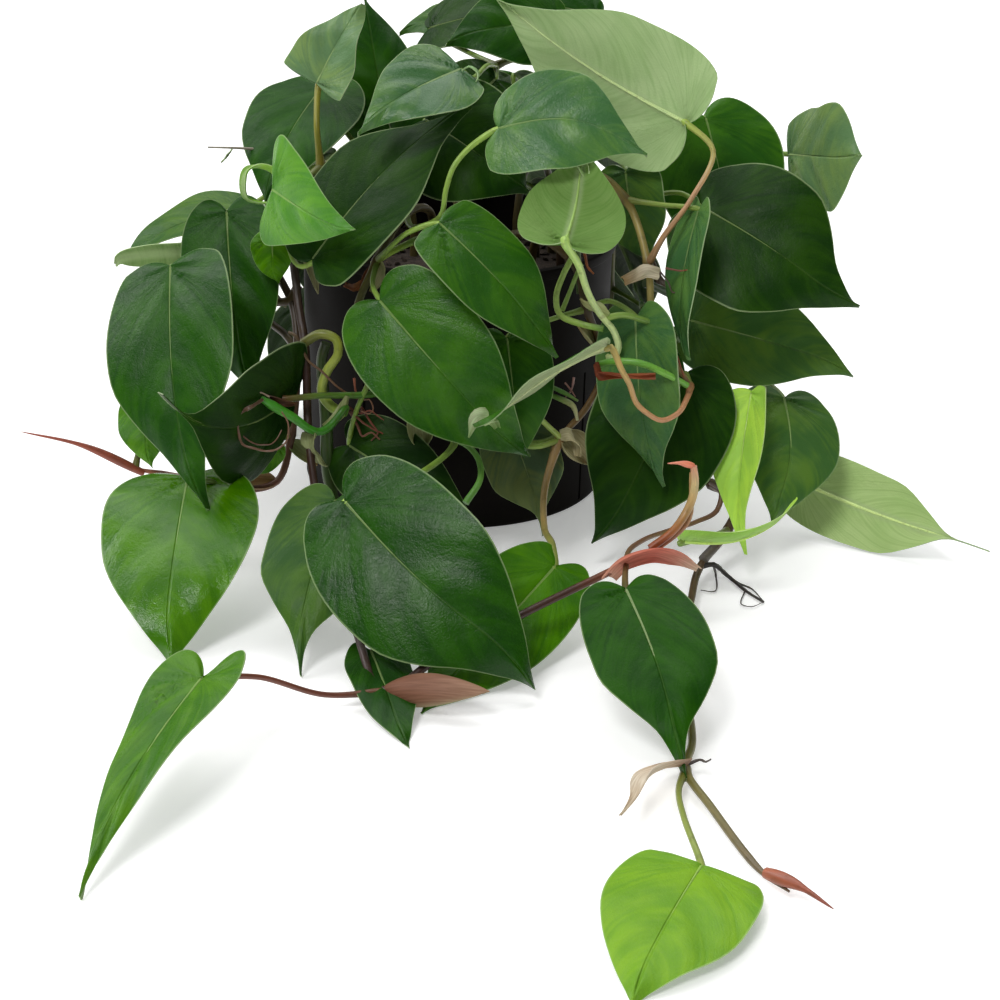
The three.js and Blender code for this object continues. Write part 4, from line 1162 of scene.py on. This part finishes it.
def upper_leaf_skin():
    """Living aroid leaf, upper side: a smooth waxy cuticle over domed cells. The wax mirrors soft light in
    pale sheens, and the cells break each sheen into fine grains. Real cells are 0.05 mm across; they are
    drawn 0.8 mm across here, so that the grain shows."""
    material, tree = new_material("upper_leaf_skin")
    tone, gloss, vein, side, spread = leaf_facts(tree)
    place = add_node(tree, "TexCoord", output="Object")
    grain = add_node(tree, "TexNoise", {"Vector": place, "Scale": 1 / (0.8 * MM), "Detail": 3.0,
                                        "Roughness": 0.65}, output="Fac")
    dimples = add_node(tree, "TexNoise", {"Vector": place, "Scale": 1 / (3.0 * MM), "Detail": 4.0,
                                          "Roughness": 0.65}, output="Fac")
    patches = add_node(tree, "TexNoise", {"Vector": place, "Scale": 1 / (20.0 * MM), "Detail": 2.0},
                       output="Fac")

    # Streaks about 1/16 of a blade apart that run out along the veins
    vein_16 = add_node(tree, "Math", {0: vein, 1: 16.0}, operation="MULTIPLY")
    side_20 = add_node(tree, "Math", {0: side, 1: 0.05}, operation="MULTIPLY")
    along_veins = add_node(tree, "CombineXYZ", {0: vein_16, 1: side_20})
    streaks = add_node(tree, "TexNoise", {"Vector": along_veins, "Scale": 1.0, "Detail": 3.0,
                                          "Roughness": 0.6}, output="Fac")
    # The patches and streaks pick between lit and shaded copies of the tone below: painted light and shade
    # over the blade, weaker on pale tones.
    mottle = add_node(tree, "Mix", {0: 0.5, 2: patches, 3: streaks})
    light = add_node(tree, "MapRange", {"Value": mottle, "From Min": 0.40, "From Max": 0.62},
                     interpolation_type="SMOOTHSTEP")
    brightness = add_node(tree, "RGBToBW", {0: tone})
    share = add_node(tree, "MapRange", {"Value": brightness, "From Min": 0.05, "From Max": 0.35,
                                        "To Min": 0.95, "To Max": 0.3})
    lit = add_node(tree, "Mix", {0: share, 6: tone, 7: (1.55, 1.32, 0.80, 1.0)}, output=2,
                   data_type="RGBA", blend_type="MULTIPLY")
    shaded = add_node(tree, "Mix", {0: share, 6: tone, 7: (0.62, 0.76, 0.80, 1.0)}, output=2,
                      data_type="RGBA", blend_type="MULTIPLY")
    colour = add_node(tree, "Mix", {0: light, 6: shaded, 7: lit}, output=2, data_type="RGBA")

    # The midrib shows as a soft crease, a little paler than the blade, and the margin as a thin pale line,
    # partly its own paler green and partly a painted highlight where the edge catches light
    crease = add_node(tree, "MapRange", {"Value": side, "From Min": 0.15, "From Max": 0.7, "To Min": 0.06,
                                         "To Max": 0.0}, interpolation_type="SMOOTHSTEP")
    colour = add_node(tree, "Mix", {0: crease, 6: colour, 7: (*linear("#7fa34c"), 1.0)}, output=2,
                      data_type="RGBA")
    edge = add_node(tree, "MapRange", {"Value": spread, "From Min": 0.972, "From Max": 0.994,
                                       "To Max": 0.42}, interpolation_type="SMOOTHSTEP")
    colour = add_node(tree, "Mix", {0: edge, 6: colour, 7: (*linear("#b4cb92"), 1.0)}, output=2,
                      data_type="RGBA")

    cells = add_node(tree, "Math", {0: grain, 1: 0.35}, operation="MULTIPLY")
    relief = add_node(tree, "Math", {0: dimples, 1: 0.55, 2: cells}, operation="MULTIPLY_ADD")
    relief = add_node(tree, "Math", {0: streaks, 1: 0.7, 2: relief}, operation="MULTIPLY_ADD")
    relief = add_node(tree, "Math", {0: crease, 1: -14.0, 2: relief}, operation="MULTIPLY_ADD")
    bump = add_node(tree, "Bump", {"Height": relief, "Strength": 0.7, "Distance": 0.0006})
    waxy = add_node(tree, "MapRange", {"Value": dimples, "From Min": 0.35, "From Max": 0.65,
                                       "To Min": 0.34, "To Max": 0.48})
    rough = add_node(tree, "Math", {0: gloss, 1: -0.13, 2: waxy}, operation="MULTIPLY_ADD")
    sheen = add_node(tree, "Math", {0: gloss, 1: 0.16, 2: 0.11}, operation="MULTIPLY_ADD")
    skin = add_node(tree, "BsdfPrincipled", {"Base Color": colour, "Roughness": rough, "IOR": 1.45,
                                             "Specular IOR Level": sheen, "Normal": bump})
    glow = add_node(tree, "Mix", {0: 1.0, 6: colour, 7: (1.8, 1.9, 0.5, 1.0)}, output=2,
                    data_type="RGBA", blend_type="MULTIPLY")
    through_light = add_node(tree, "BsdfTranslucent", {"Color": glow})
    both = add_node(tree, "MixShader", {0: 0.12, 1: skin, 2: through_light})
    add_node(tree, "OutputMaterial", {"Surface": both})
    return material


def under_leaf_skin():
    """Living aroid leaf, underside: paler, duller and greyer, with a raised pale midrib and fine darker
    lines, 1 to 2 mm apart, along its veins."""
    material, tree = new_material("under_leaf_skin")
    tone, _, vein, side, _ = leaf_facts(tree, "under")
    place = add_node(tree, "TexCoord", output="Object")
    grain = add_node(tree, "TexNoise", {"Vector": place, "Scale": 1 / (0.9 * MM), "Detail": 3.0,
                                        "Roughness": 0.6}, output="Fac")
    patches = add_node(tree, "TexNoise", {"Vector": place, "Scale": 1 / (18.0 * MM)}, output="Fac")
    vein_55 = add_node(tree, "Math", {0: vein, 1: 55.0}, operation="MULTIPLY")
    side_20 = add_node(tree, "Math", {0: side, 1: 0.05}, operation="MULTIPLY")
    along_veins = add_node(tree, "CombineXYZ", {0: vein_55, 1: side_20})
    streaks = add_node(tree, "TexNoise", {"Vector": along_veins, "Scale": 1.0, "Detail": 4.0,
                                          "Roughness": 0.65}, output="Fac")
    dusk = add_node(tree, "Mix", {0: 1.0, 6: tone, 7: (0.58, 0.70, 0.52, 1.0)}, output=2,
                    data_type="RGBA", blend_type="MULTIPLY")
    bloom = add_node(tree, "Mix", {0: 0.2, 6: tone, 7: (*linear("#a9ba8c"), 1.0)}, output=2,
                     data_type="RGBA")
    cloudy = add_node(tree, "MapRange", {"Value": patches, "From Min": 0.35, "From Max": 0.65,
                                         "To Max": 0.3}, interpolation_type="SMOOTHSTEP")
    colour = add_node(tree, "Mix", {0: cloudy, 6: bloom, 7: dusk}, output=2, data_type="RGBA")
    dark_lines = add_node(tree, "MapRange", {"Value": streaks, "From Min": 0.42, "From Max": 0.66,
                                             "To Max": 0.5}, interpolation_type="SMOOTHSTEP")
    colour = add_node(tree, "Mix", {0: dark_lines, 6: colour, 7: dusk}, output=2, data_type="RGBA")
    rib = add_node(tree, "MapRange", {"Value": side, "From Min": 0.6, "From Max": 3.2, "To Min": 0.45,
                                      "To Max": 0.0}, interpolation_type="SMOOTHSTEP")
    colour = add_node(tree, "Mix", {0: rib, 6: colour, 7: (*linear("#c6d8a4"), 1.0)}, output=2,
                      data_type="RGBA")
    relief = add_node(tree, "Math", {0: streaks, 1: 0.9, 2: grain}, operation="MULTIPLY_ADD")
    bump = add_node(tree, "Bump", {"Height": relief, "Strength": 0.55, "Distance": 0.0005})
    skin = add_node(tree, "BsdfPrincipled", {"Base Color": colour, "Roughness": 0.52, "IOR": 1.42,
                                             "Specular IOR Level": 0.3, "Normal": bump})
    glow = add_node(tree, "Mix", {0: 1.0, 6: colour, 7: (1.2, 1.3, 0.8, 1.0)}, output=2,
                    data_type="RGBA", blend_type="MULTIPLY")
    through_light = add_node(tree, "BsdfTranslucent", {"Color": glow})
    both = add_node(tree, "MixShader", {0: 0.35, 1: skin, 2: through_light})
    add_node(tree, "OutputMaterial", {"Surface": both})
    return material


def leaf_margin_and_highlight():
    """The thin clear edge of the leaf, paler than the blade and painted paler still as a highlight, where
    it catches light as a pale line.
    """
    material, tree = new_material("leaf_margin_and_highlight")
    tone = leaf_facts(tree)[0]
    colour = add_node(tree, "Mix", {0: 0.5, 6: tone, 7: (*linear("#bccf9c"), 1.0)}, output=2,
                      data_type="RGBA")
    skin = add_node(tree, "BsdfPrincipled", {"Base Color": colour, "Roughness": 0.4, "IOR": 1.45})
    add_node(tree, "OutputMaterial", {"Surface": skin})
    return material


def stem_skin():
    """Green and browning stem skin, smooth and slightly waxy, with fine streaks along it and corky
    blotches about 3 mm across."""
    material, tree = new_material("stem_skin")
    tone = add_node(tree, "Attribute", attribute_name="tone")
    form = add_node(tree, "Attribute", attribute_name="form", output="Vector")
    along_stem = add_node(tree, "Mapping", {"Vector": form, "Scale": (0.12, 1.6, 0.0)})
    streaks = add_node(tree, "TexNoise", {"Vector": along_stem, "Scale": 1.0, "Detail": 3.0}, output="Fac")
    place = add_node(tree, "TexCoord", output="Object")
    blotches = add_node(tree, "TexNoise", {"Vector": place, "Scale": 1 / (3.0 * MM), "Detail": 3.0,
                                           "Roughness": 0.6}, output="Fac")
    paler = add_node(tree, "Mix", {0: 1.0, 6: tone, 7: (1.5, 1.35, 1.2, 1.0)}, output=2,
                     data_type="RGBA", blend_type="MULTIPLY")
    streaky = add_node(tree, "MapRange", {"Value": streaks, "From Min": 0.35, "From Max": 0.65,
                                          "To Max": 0.6}, interpolation_type="SMOOTHSTEP")
    colour = add_node(tree, "Mix", {0: streaky, 6: tone, 7: paler}, output=2, data_type="RGBA")
    corky = add_node(tree, "MapRange", {"Value": blotches, "From Min": 0.54, "From Max": 0.72,
                                        "To Max": 0.35}, interpolation_type="SMOOTHSTEP")
    colour = add_node(tree, "Mix", {0: corky, 6: colour, 7: (*linear("#4b3a22"), 1.0)}, output=2,
                      data_type="RGBA")
    bump = add_node(tree, "Bump", {"Height": streaks, "Strength": 0.4, "Distance": 0.0003})
    skin = add_node(tree, "BsdfPrincipled", {"Base Color": colour, "Roughness": 0.38, "IOR": 1.45,
                                             "Normal": bump})
    add_node(tree, "OutputMaterial", {"Surface": skin})
    return material


def papery_bract():
    """Dried sheath: thin dead leaf tissue, cream to tan, with fibres along it that let light through."""
    material, tree = new_material("papery_bract")
    tone = add_node(tree, "Attribute", attribute_name="tone")
    form = add_node(tree, "Attribute", attribute_name="form", output="Vector")
    along_sheath = add_node(tree, "Mapping", {"Vector": form, "Scale": (0.08, 1.8, 0.0)})
    fibres = add_node(tree, "TexNoise", {"Vector": along_sheath, "Scale": 1.0, "Detail": 4.0}, output="Fac")
    old = add_node(tree, "Mix", {0: 1.0, 6: tone, 7: (0.55, 0.45, 0.35, 1.0)}, output=2,
                   data_type="RGBA", blend_type="MULTIPLY")
    fibrous = add_node(tree, "MapRange", {"Value": fibres, "From Min": 0.3, "From Max": 0.7,
                                          "To Max": 0.6}, interpolation_type="SMOOTHSTEP")
    colour = add_node(tree, "Mix", {0: fibrous, 6: tone, 7: old}, output=2, data_type="RGBA")
    bump = add_node(tree, "Bump", {"Height": fibres, "Strength": 0.6, "Distance": 0.0004})
    skin = add_node(tree, "BsdfPrincipled", {"Base Color": colour, "Roughness": 0.6, "Normal": bump})
    through_light = add_node(tree, "BsdfTranslucent", {"Color": colour})
    both = add_node(tree, "MixShader", {0: 0.35, 1: skin, 2: through_light})
    add_node(tree, "OutputMaterial", {"Surface": both})
    return material


def moulded_polypropylene(colour):
    """Black polypropylene, injection moulded: satin, faintly mottled over 22 mm, with the fine grain of
    the mould, drawn 0.6 mm across so that it shows."""
    material, tree = new_material("moulded_polypropylene")
    place = add_node(tree, "TexCoord", output="Object")
    grain = add_node(tree, "TexNoise", {"Vector": place, "Scale": 1 / (0.6 * MM), "Roughness": 0.6},
                     output="Fac")
    mottle = add_node(tree, "TexNoise", {"Vector": place, "Scale": 1 / (22.0 * MM), "Detail": 3.0},
                      output="Fac")
    dusty = add_node(tree, "MapRange", {"Value": mottle, "From Min": 0.35, "From Max": 0.65,
                                        "To Max": 0.5}, interpolation_type="SMOOTHSTEP")
    base = add_node(tree, "Mix", {0: dusty, 6: (*colour, 1.0), 7: (*(c * 1.6 for c in colour), 1.0)},
                    output=2, data_type="RGBA")
    bump = add_node(tree, "Bump", {"Height": grain, "Strength": 0.25, "Distance": 0.0002})
    rough = add_node(tree, "MapRange", {"Value": mottle, "From Min": 0.3, "From Max": 0.7,
                                        "To Min": 0.46, "To Max": 0.6})
    plastic = add_node(tree, "BsdfPrincipled", {"Base Color": base, "Roughness": rough, "IOR": 1.49,
                                                "Specular IOR Level": 0.03, "Normal": bump})
    add_node(tree, "OutputMaterial", {"Surface": plastic})
    return material


def potting_soil(colour):
    """Damp peat and bark: dark brown crumbs of about 2 mm with paler fibres."""
    material, tree = new_material("potting_soil")
    place = add_node(tree, "TexCoord", output="Object")
    crumbs = add_node(tree, "TexNoise", {"Vector": place, "Scale": 1 / (2.2 * MM), "Detail": 5.0,
                                         "Roughness": 0.65}, output="Fac")
    fibres = add_node(tree, "TexNoise", {"Vector": place, "Scale": 1 / (0.8 * MM), "Detail": 3.0,
                                         "Roughness": 0.6, "Distortion": 1.5}, output="Fac")
    dry = add_node(tree, "MapRange", {"Value": crumbs, "From Min": 0.40, "From Max": 0.66},
                   interpolation_type="SMOOTHSTEP")
    base = add_node(tree, "Mix", {0: dry, 6: (*colour, 1.0), 7: (*(c * 2.2 for c in colour), 1.0)},
                    output=2, data_type="RGBA")
    fibrous = add_node(tree, "MapRange", {"Value": fibres, "From Min": 0.62, "From Max": 0.72,
                                          "To Max": 0.3}, interpolation_type="SMOOTHSTEP")
    base = add_node(tree, "Mix", {0: fibrous, 6: base, 7: (*linear("#8a6a45"), 1.0)}, output=2,
                    data_type="RGBA")
    relief = add_node(tree, "Math", {0: fibres, 1: 0.4, 2: crumbs}, operation="MULTIPLY_ADD")
    bump = add_node(tree, "Bump", {"Height": relief, "Strength": 0.9, "Distance": 0.0016})
    peat = add_node(tree, "BsdfPrincipled", {"Base Color": base, "Roughness": 0.9, "Normal": bump})
    add_node(tree, "OutputMaterial", {"Surface": peat})
    return material


def studio_paper():
    """Matt white paper sweep, lit from behind so that it stays white."""
    material, tree = new_material("studio_paper")
    place = add_node(tree, "TexCoord", output="Object")
    tooth = add_node(tree, "TexNoise", {"Vector": place, "Scale": 1 / (40.0 * MM)}, output="Fac")
    colour = add_node(tree, "Mix", {0: tooth, 6: (0.90, 0.90, 0.895, 1.0), 7: (0.88, 0.88, 0.88, 1.0)},
                      output=2, data_type="RGBA")
    paper = add_node(tree, "BsdfPrincipled", {"Base Color": colour, "Roughness": 0.85,
                                              "Emission Color": (1.0, 1.0, 1.0, 1.0),
                                              "Emission Strength": 0.30})
    add_node(tree, "OutputMaterial", {"Surface": paper})
    return material


def material_of(maker, *values):
    """The material that a function makes, made once."""
    return bpy.data.materials.get(maker.__name__) or maker(*values)


def leaf_skins():
    return [material_of(maker) for maker in (upper_leaf_skin, under_leaf_skin, leaf_margin_and_highlight, stem_skin)]


def hanging_vine(turn, drop, size, first_leaf):
    """Description of a vine that hangs over the back of the rim, its leaves on alternate sides."""
    def spot(aside, out, height):
        way = facing(turn + aside, 0)
        return (way.x * out, way.y * out, height)

    leaves = []
    for leaf in BACK_LEAVES[first_leaf:]:
        reach = size * leaf["length"] * math.sin(math.radians(leaf["lean"]))
        fall = size * leaf["length"] * math.cos(math.radians(leaf["lean"]))
        aside, height = leaf["aside"], leaf["height"] - drop
        leaves.append(dict(tone=leaf["tone"], base=spot(aside, leaf["out"], height),
                           tip=spot(aside, leaf["out"] + reach, height - fall),
                           width=size * leaf["length"] * BACK_WIDTH_SHARE,
                           faces=(turn + aside, leaf["lean"]), fold=5, bow=0.06, node=leaf["node"]))
    return {"soil": spot(0, BACK_SOIL_OUT, 0)[:2], "route": [spot(0, *p) for p in BACK_ROUTE],
            "leaves": leaves}


def grow(name, vine, seed):
    """Leaves, stem and small parts of one vine, in place of its solid."""
    scene = bpy.context.scene
    skins = leaf_skins()
    blades = []
    line = stem_line(vine)
    stems = [vine_stem(name + "_stem", vine, line, skins[3], scene.plant_vines)]
    for i, leaf in enumerate(vine["leaves"]):
        blades += leaf_blade(f"{name}_leaf_{i}", leaf, skins, scene.plant_leaves, seed + i)
        stems.append(leaf_stalk(f"{name}_stalk_{i}", vine, leaf, line, skins[3], scene.plant_vines))
    paper = material_of(papery_bract)
    for i, sheath in enumerate(vine.get("sheaths", [])):
        stems.append(bract(f"{name}_bract_{i}", line, sheath, paper, seed + SHEATH_SEED + i))
    for i, tip in enumerate(vine.get("tips", [])):
        stems.append(growing_tip(f"{name}_tip_{i}", tip, skins[3]))
    for i, twig in enumerate(vine.get("shoots", [])):
        stems.append(shoot(f"{name}_shoot_{i}", twig, skins[3]))
    for i, ribbon in enumerate(vine.get("strips", [])):
        stems.append(strip(f"{name}_strip_{i}", ribbon, [paper], seed + STRIP_SEED + i))
    for i, ribbon in enumerate(vine.get("curled", [])):
        blades.append(strip(f"{name}_curled_{i}", ribbon, skins, seed + CURLED_SEED + i))
    for i, root in enumerate(vine.get("roots", [])):
        stems.append(curly_root(f"{name}_root_{i}", root, skins[3], seed + ROOT_SEED + i))
    joined(name + "_leaves", blades, name)
    joined(name + "_stems", stems, name)


class PLANT_OT_front_vines(bpy.types.Operator):
    """Grow the vines that rise over the front rim and the ones that trail on the surface"""
    bl_idname = "plant.front_vines"
    bl_label = "Front and trailing vines"

    def execute(self, context):
        for i, (name, vine) in enumerate(VINES.items()):
            grow(name, vine, VINE_SEEDS * i)
        return {"FINISHED"}


class PLANT_OT_back_vines(bpy.types.Operator):
    """Grow the vines that hang over the back of the rim"""
    bl_idname = "plant.back_vines"
    bl_label = "Back vines"

    def execute(self, context):
        for i, (name, way) in enumerate(BACK_VINES.items()):
            grow(name, hanging_vine(**way), BACK_SEED + VINE_SEEDS * i)
        return {"FINISHED"}


class PLANT_OT_pot(bpy.types.Operator):
    """Mould the plain plastic pot with its rim, its foot and its four upright grooves"""
    bl_idname = "plant.pot"
    bl_label = "Pot"

    def execute(self, context):
        settings = context.scene.plant_pot
        radius, height, wall = settings.radius, settings.height, settings.wall
        rim, lip = settings.rim_depth, settings.lip
        ledge = height - rim
        bpy.ops.object.select_all(action="DESELECT")
        bpy.ops.mesh.primitive_cylinder_add(vertices=POT_SIDES, radius=radius, depth=ledge,
                                            location=(0, 0, ledge / 2))
        bpy.ops.object.transform_apply(location=True, rotation=True, scale=True)
        pot = context.object
        pot.name = pot.data.name = "plastic_pot"

        bpy.ops.object.mode_set(mode="EDIT")
        for level in settings.groove_from, settings.groove_to:
            bpy.ops.mesh.select_all(action="SELECT")
            bpy.ops.mesh.bisect(plane_co=(0, 0, level), plane_no=(0, 0, 1))

        def in_groove(face, middle):
            turn = math.degrees(math.atan2(middle.x, -middle.y))
            gap = min(abs((turn - groove + 180) % 360 - 180) for groove in GROOVE_TURNS)
            return settings.groove_from < middle.z < settings.groove_to and gap < GROOVE_HALF_WIDTH

        choose_faces(pot, in_groove)
        bpy.ops.mesh.inset(thickness=0.0002, depth=-settings.groove_depth)
        choose_faces(pot, lambda face, middle: face.normal.z > 0.9 and middle.z > ledge - 1e-5)
        bpy.ops.mesh.extrude_region_move()
        widen = (radius + lip) / radius
        bpy.ops.transform.resize(value=(widen, widen, 1), center_override=(0, 0, ledge))
        bpy.ops.mesh.extrude_region_move(TRANSFORM_OT_translate={"value": (0, 0, rim)})
        bpy.ops.mesh.inset(thickness=lip + wall)
        bpy.ops.mesh.extrude_region_move(TRANSFORM_OT_translate={"value": (0, 0, POT_FLOOR - height)})
        for out, level, size in ((radius, 0.0, 0.002), (radius + lip, height, 0.001),
                                 (radius + lip, ledge, 0.0006), (radius - wall, height, 0.0006)):
            choose_ring(pot, out, level)
            bpy.ops.mesh.bevel(offset=size, segments=3, affect="EDGES")
        bpy.ops.mesh.select_all(action="SELECT")
        bpy.ops.mesh.normals_make_consistent(inside=False)
        bpy.ops.object.mode_set(mode="OBJECT")

        pot.data.materials.append(material_of(moulded_polypropylene, tuple(settings.colour)))
        bpy.ops.object.shade_smooth_by_angle(angle=math.radians(35))
        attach(pot, "root")
        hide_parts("pot")
        return {"FINISHED"}


class PLANT_OT_soil(bpy.types.Operator):
    """Fill the pot with uneven potting soil and strew crumbs and bark chips on it"""
    bl_idname = "plant.soil"
    bl_label = "Soil"

    def execute(self, context):
        settings = context.scene.plant_soil
        pot = context.scene.plant_pot
        draw = random.Random(7)
        radius = pot.radius - pot.wall - SOIL_GAP
        bpy.ops.object.select_all(action="DESELECT")
        bpy.ops.mesh.primitive_grid_add(x_subdivisions=SOIL_COLUMNS, y_subdivisions=SOIL_ROWS, size=2)
        soil = context.object
        soil.name = soil.data.name = "potting_soil_fill"
        for vertex in soil.data.vertices:
            row = round((vertex.co.y + 1) / 2 * SOIL_ROWS)
            angle = math.pi * (vertex.co.x + 1)
            if row == 0:
                r, z = 0.0, SOIL_UNDERSIDE
            elif row == 1:
                r, z = radius, SOIL_UNDERSIDE
            else:
                share = 1 - (row - 2) / (SOIL_ROWS - 2)
                r = radius * share
                ripple = 0.0011 * math.sin(5 * angle + 9 * share) * math.sin(7 * share) \
                    + 0.0008 * math.sin(11 * angle - 14 * share)
                z = settings.top - 0.0018 - 0.0030 * share ** 2 + ripple * share * (1.2 - share)
            vertex.co = (r * math.cos(angle), r * math.sin(angle), z)
        tidy_mesh(soil, True)
        crumbs = [soil]
        for _ in range(settings.crumbs):
            out = radius * math.sqrt(draw.random()) * 0.97
            angle = draw.uniform(0, 2 * math.pi)
            size = draw.uniform(0.0008, 0.0026)
            z = settings.top - 0.0016 - 0.0030 * (out / radius) ** 2
            bpy.ops.object.select_all(action="DESELECT")
            bpy.ops.mesh.primitive_ico_sphere_add(subdivisions=1, radius=size)
            crumb = context.object
            lean = Matrix.Rotation(draw.uniform(0, 6.28), 3, Vector((draw.random(), draw.random(), 1)))
            for vertex in crumb.data.vertices:
                stretch = Vector((1.5, draw.uniform(0.6, 1.0), 0.55))
                spot = lean @ (vertex.co * stretch)
                vertex.co = spot + Vector((out * math.cos(angle), out * math.sin(angle), z))
            crumbs.append(crumb)
        select_only(crumbs)
        bpy.ops.object.join()
        soil.data.materials.clear()
        soil.data.materials.append(material_of(potting_soil, tuple(settings.colour)))
        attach(soil, "root")
        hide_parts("soil")
        return {"FINISHED"}


class PLANT_OT_stage(bpy.types.Operator):
    """Lay the pale floor, hang the soft lights and set the camera"""
    bl_idname = "plant.stage"
    bl_label = "Stage"

    def execute(self, context):
        settings = context.scene.plant_stage
        bpy.ops.object.select_all(action="DESELECT")
        bpy.ops.mesh.primitive_plane_add(size=settings.floor_size, location=(0, 0, -0.0002))
        floor = context.object
        floor.name = floor.data.name = "studio_floor"
        floor.data.materials.append(material_of(studio_paper))

        lamps = [
            ("diffuser_behind", 180, 62, 50, 1.55),
            ("diffuser_left", -112, 40, 34, 1.25),
            ("diffuser_front", -32, 54, 18, 1.45),
        ]
        for name, turn, rise, width, power in lamps:
            way = facing(turn, rise)
            bpy.ops.object.light_add(type="SUN", location=way * 2)
            lamp = context.object
            lamp.name = lamp.data.name = name
            lamp.data.angle = math.radians(width)
            lamp.data.energy = power * settings.diffusers
            lamp.rotation_euler = way.to_track_quat("Z", "Y").to_euler()

        world = bpy.data.worlds.new("studio_air")
        world.use_nodes = True
        back = world.node_tree.nodes["Background"]
        back.inputs[0].default_value = (1.0, 1.0, 1.0, 1.0)
        back.inputs[1].default_value = settings.daylight
        context.scene.world = world
        context.scene.view_settings.view_transform = "Standard"

        bpy.ops.object.camera_add(location=CAMERA_PLACE)
        camera = context.object
        camera.name = camera.data.name = "camera"
        pitch, roll = math.radians(CAMERA_PITCH), math.radians(CAMERA_ROLL)
        ahead = Vector((0, math.cos(pitch), -math.sin(pitch)))
        right, up = Vector((1, 0, 0)), Vector((0, math.sin(pitch), math.cos(pitch)))
        level = right * math.cos(roll) + up * math.sin(roll)
        upright = up * math.cos(roll) - right * math.sin(roll)
        axes = Matrix((level, upright, -ahead)).transposed()
        camera.rotation_euler = axes.to_euler()
        camera.data.lens = CAMERA_LENS
        camera.data.sensor_width = CAMERA_SENSOR
        camera.data.clip_start = 0.02
        camera.data.clip_end = 900.0
        context.scene.camera = camera
        return {"FINISHED"}


class PLANT_PT_panel(bpy.types.Panel):
    bl_label = "Philodendron"
    bl_idname = "PLANT_PT_panel"
    bl_space_type = "VIEW_3D"
    bl_region_type = "UI"
    bl_category = "Philodendron"

    def draw(self, context):
        layout = self.layout
        for operator in OPERATORS:
            layout.operator(operator.bl_idname)
        for group in GROUPS:
            settings = getattr(context.scene, group)
            box = layout.box()
            for key in settings.__annotations__:
                box.prop(settings, key)


GROUPS = {
    "plant_leaves": LeafSettings,
    "plant_vines": VineSettings,
    "plant_pot": PotSettings,
    "plant_soil": SoilSettings,
    "plant_stage": StageSettings,
}
OPERATORS = [PLANT_OT_stage, PLANT_OT_pot, PLANT_OT_soil, PLANT_OT_front_vines, PLANT_OT_back_vines]


def register():
    for made in (*GROUPS.values(), *OPERATORS, PLANT_PT_panel):
        bpy.utils.register_class(made)
    for name, group in GROUPS.items():
        setattr(bpy.types.Scene, name, PointerProperty(type=group))


def unregister():
    for name in GROUPS:
        delattr(bpy.types.Scene, name)
    for made in (PLANT_PT_panel, *reversed(OPERATORS), *reversed(list(GROUPS.values()))):
        bpy.utils.unregister_class(made)


def main():
    register()
    bpy.ops.plant.stage()
    bpy.ops.plant.pot()
    bpy.ops.plant.soil()
    bpy.ops.plant.front_vines()
    bpy.ops.plant.back_vines()


if __name__ == "__main__":
    main()
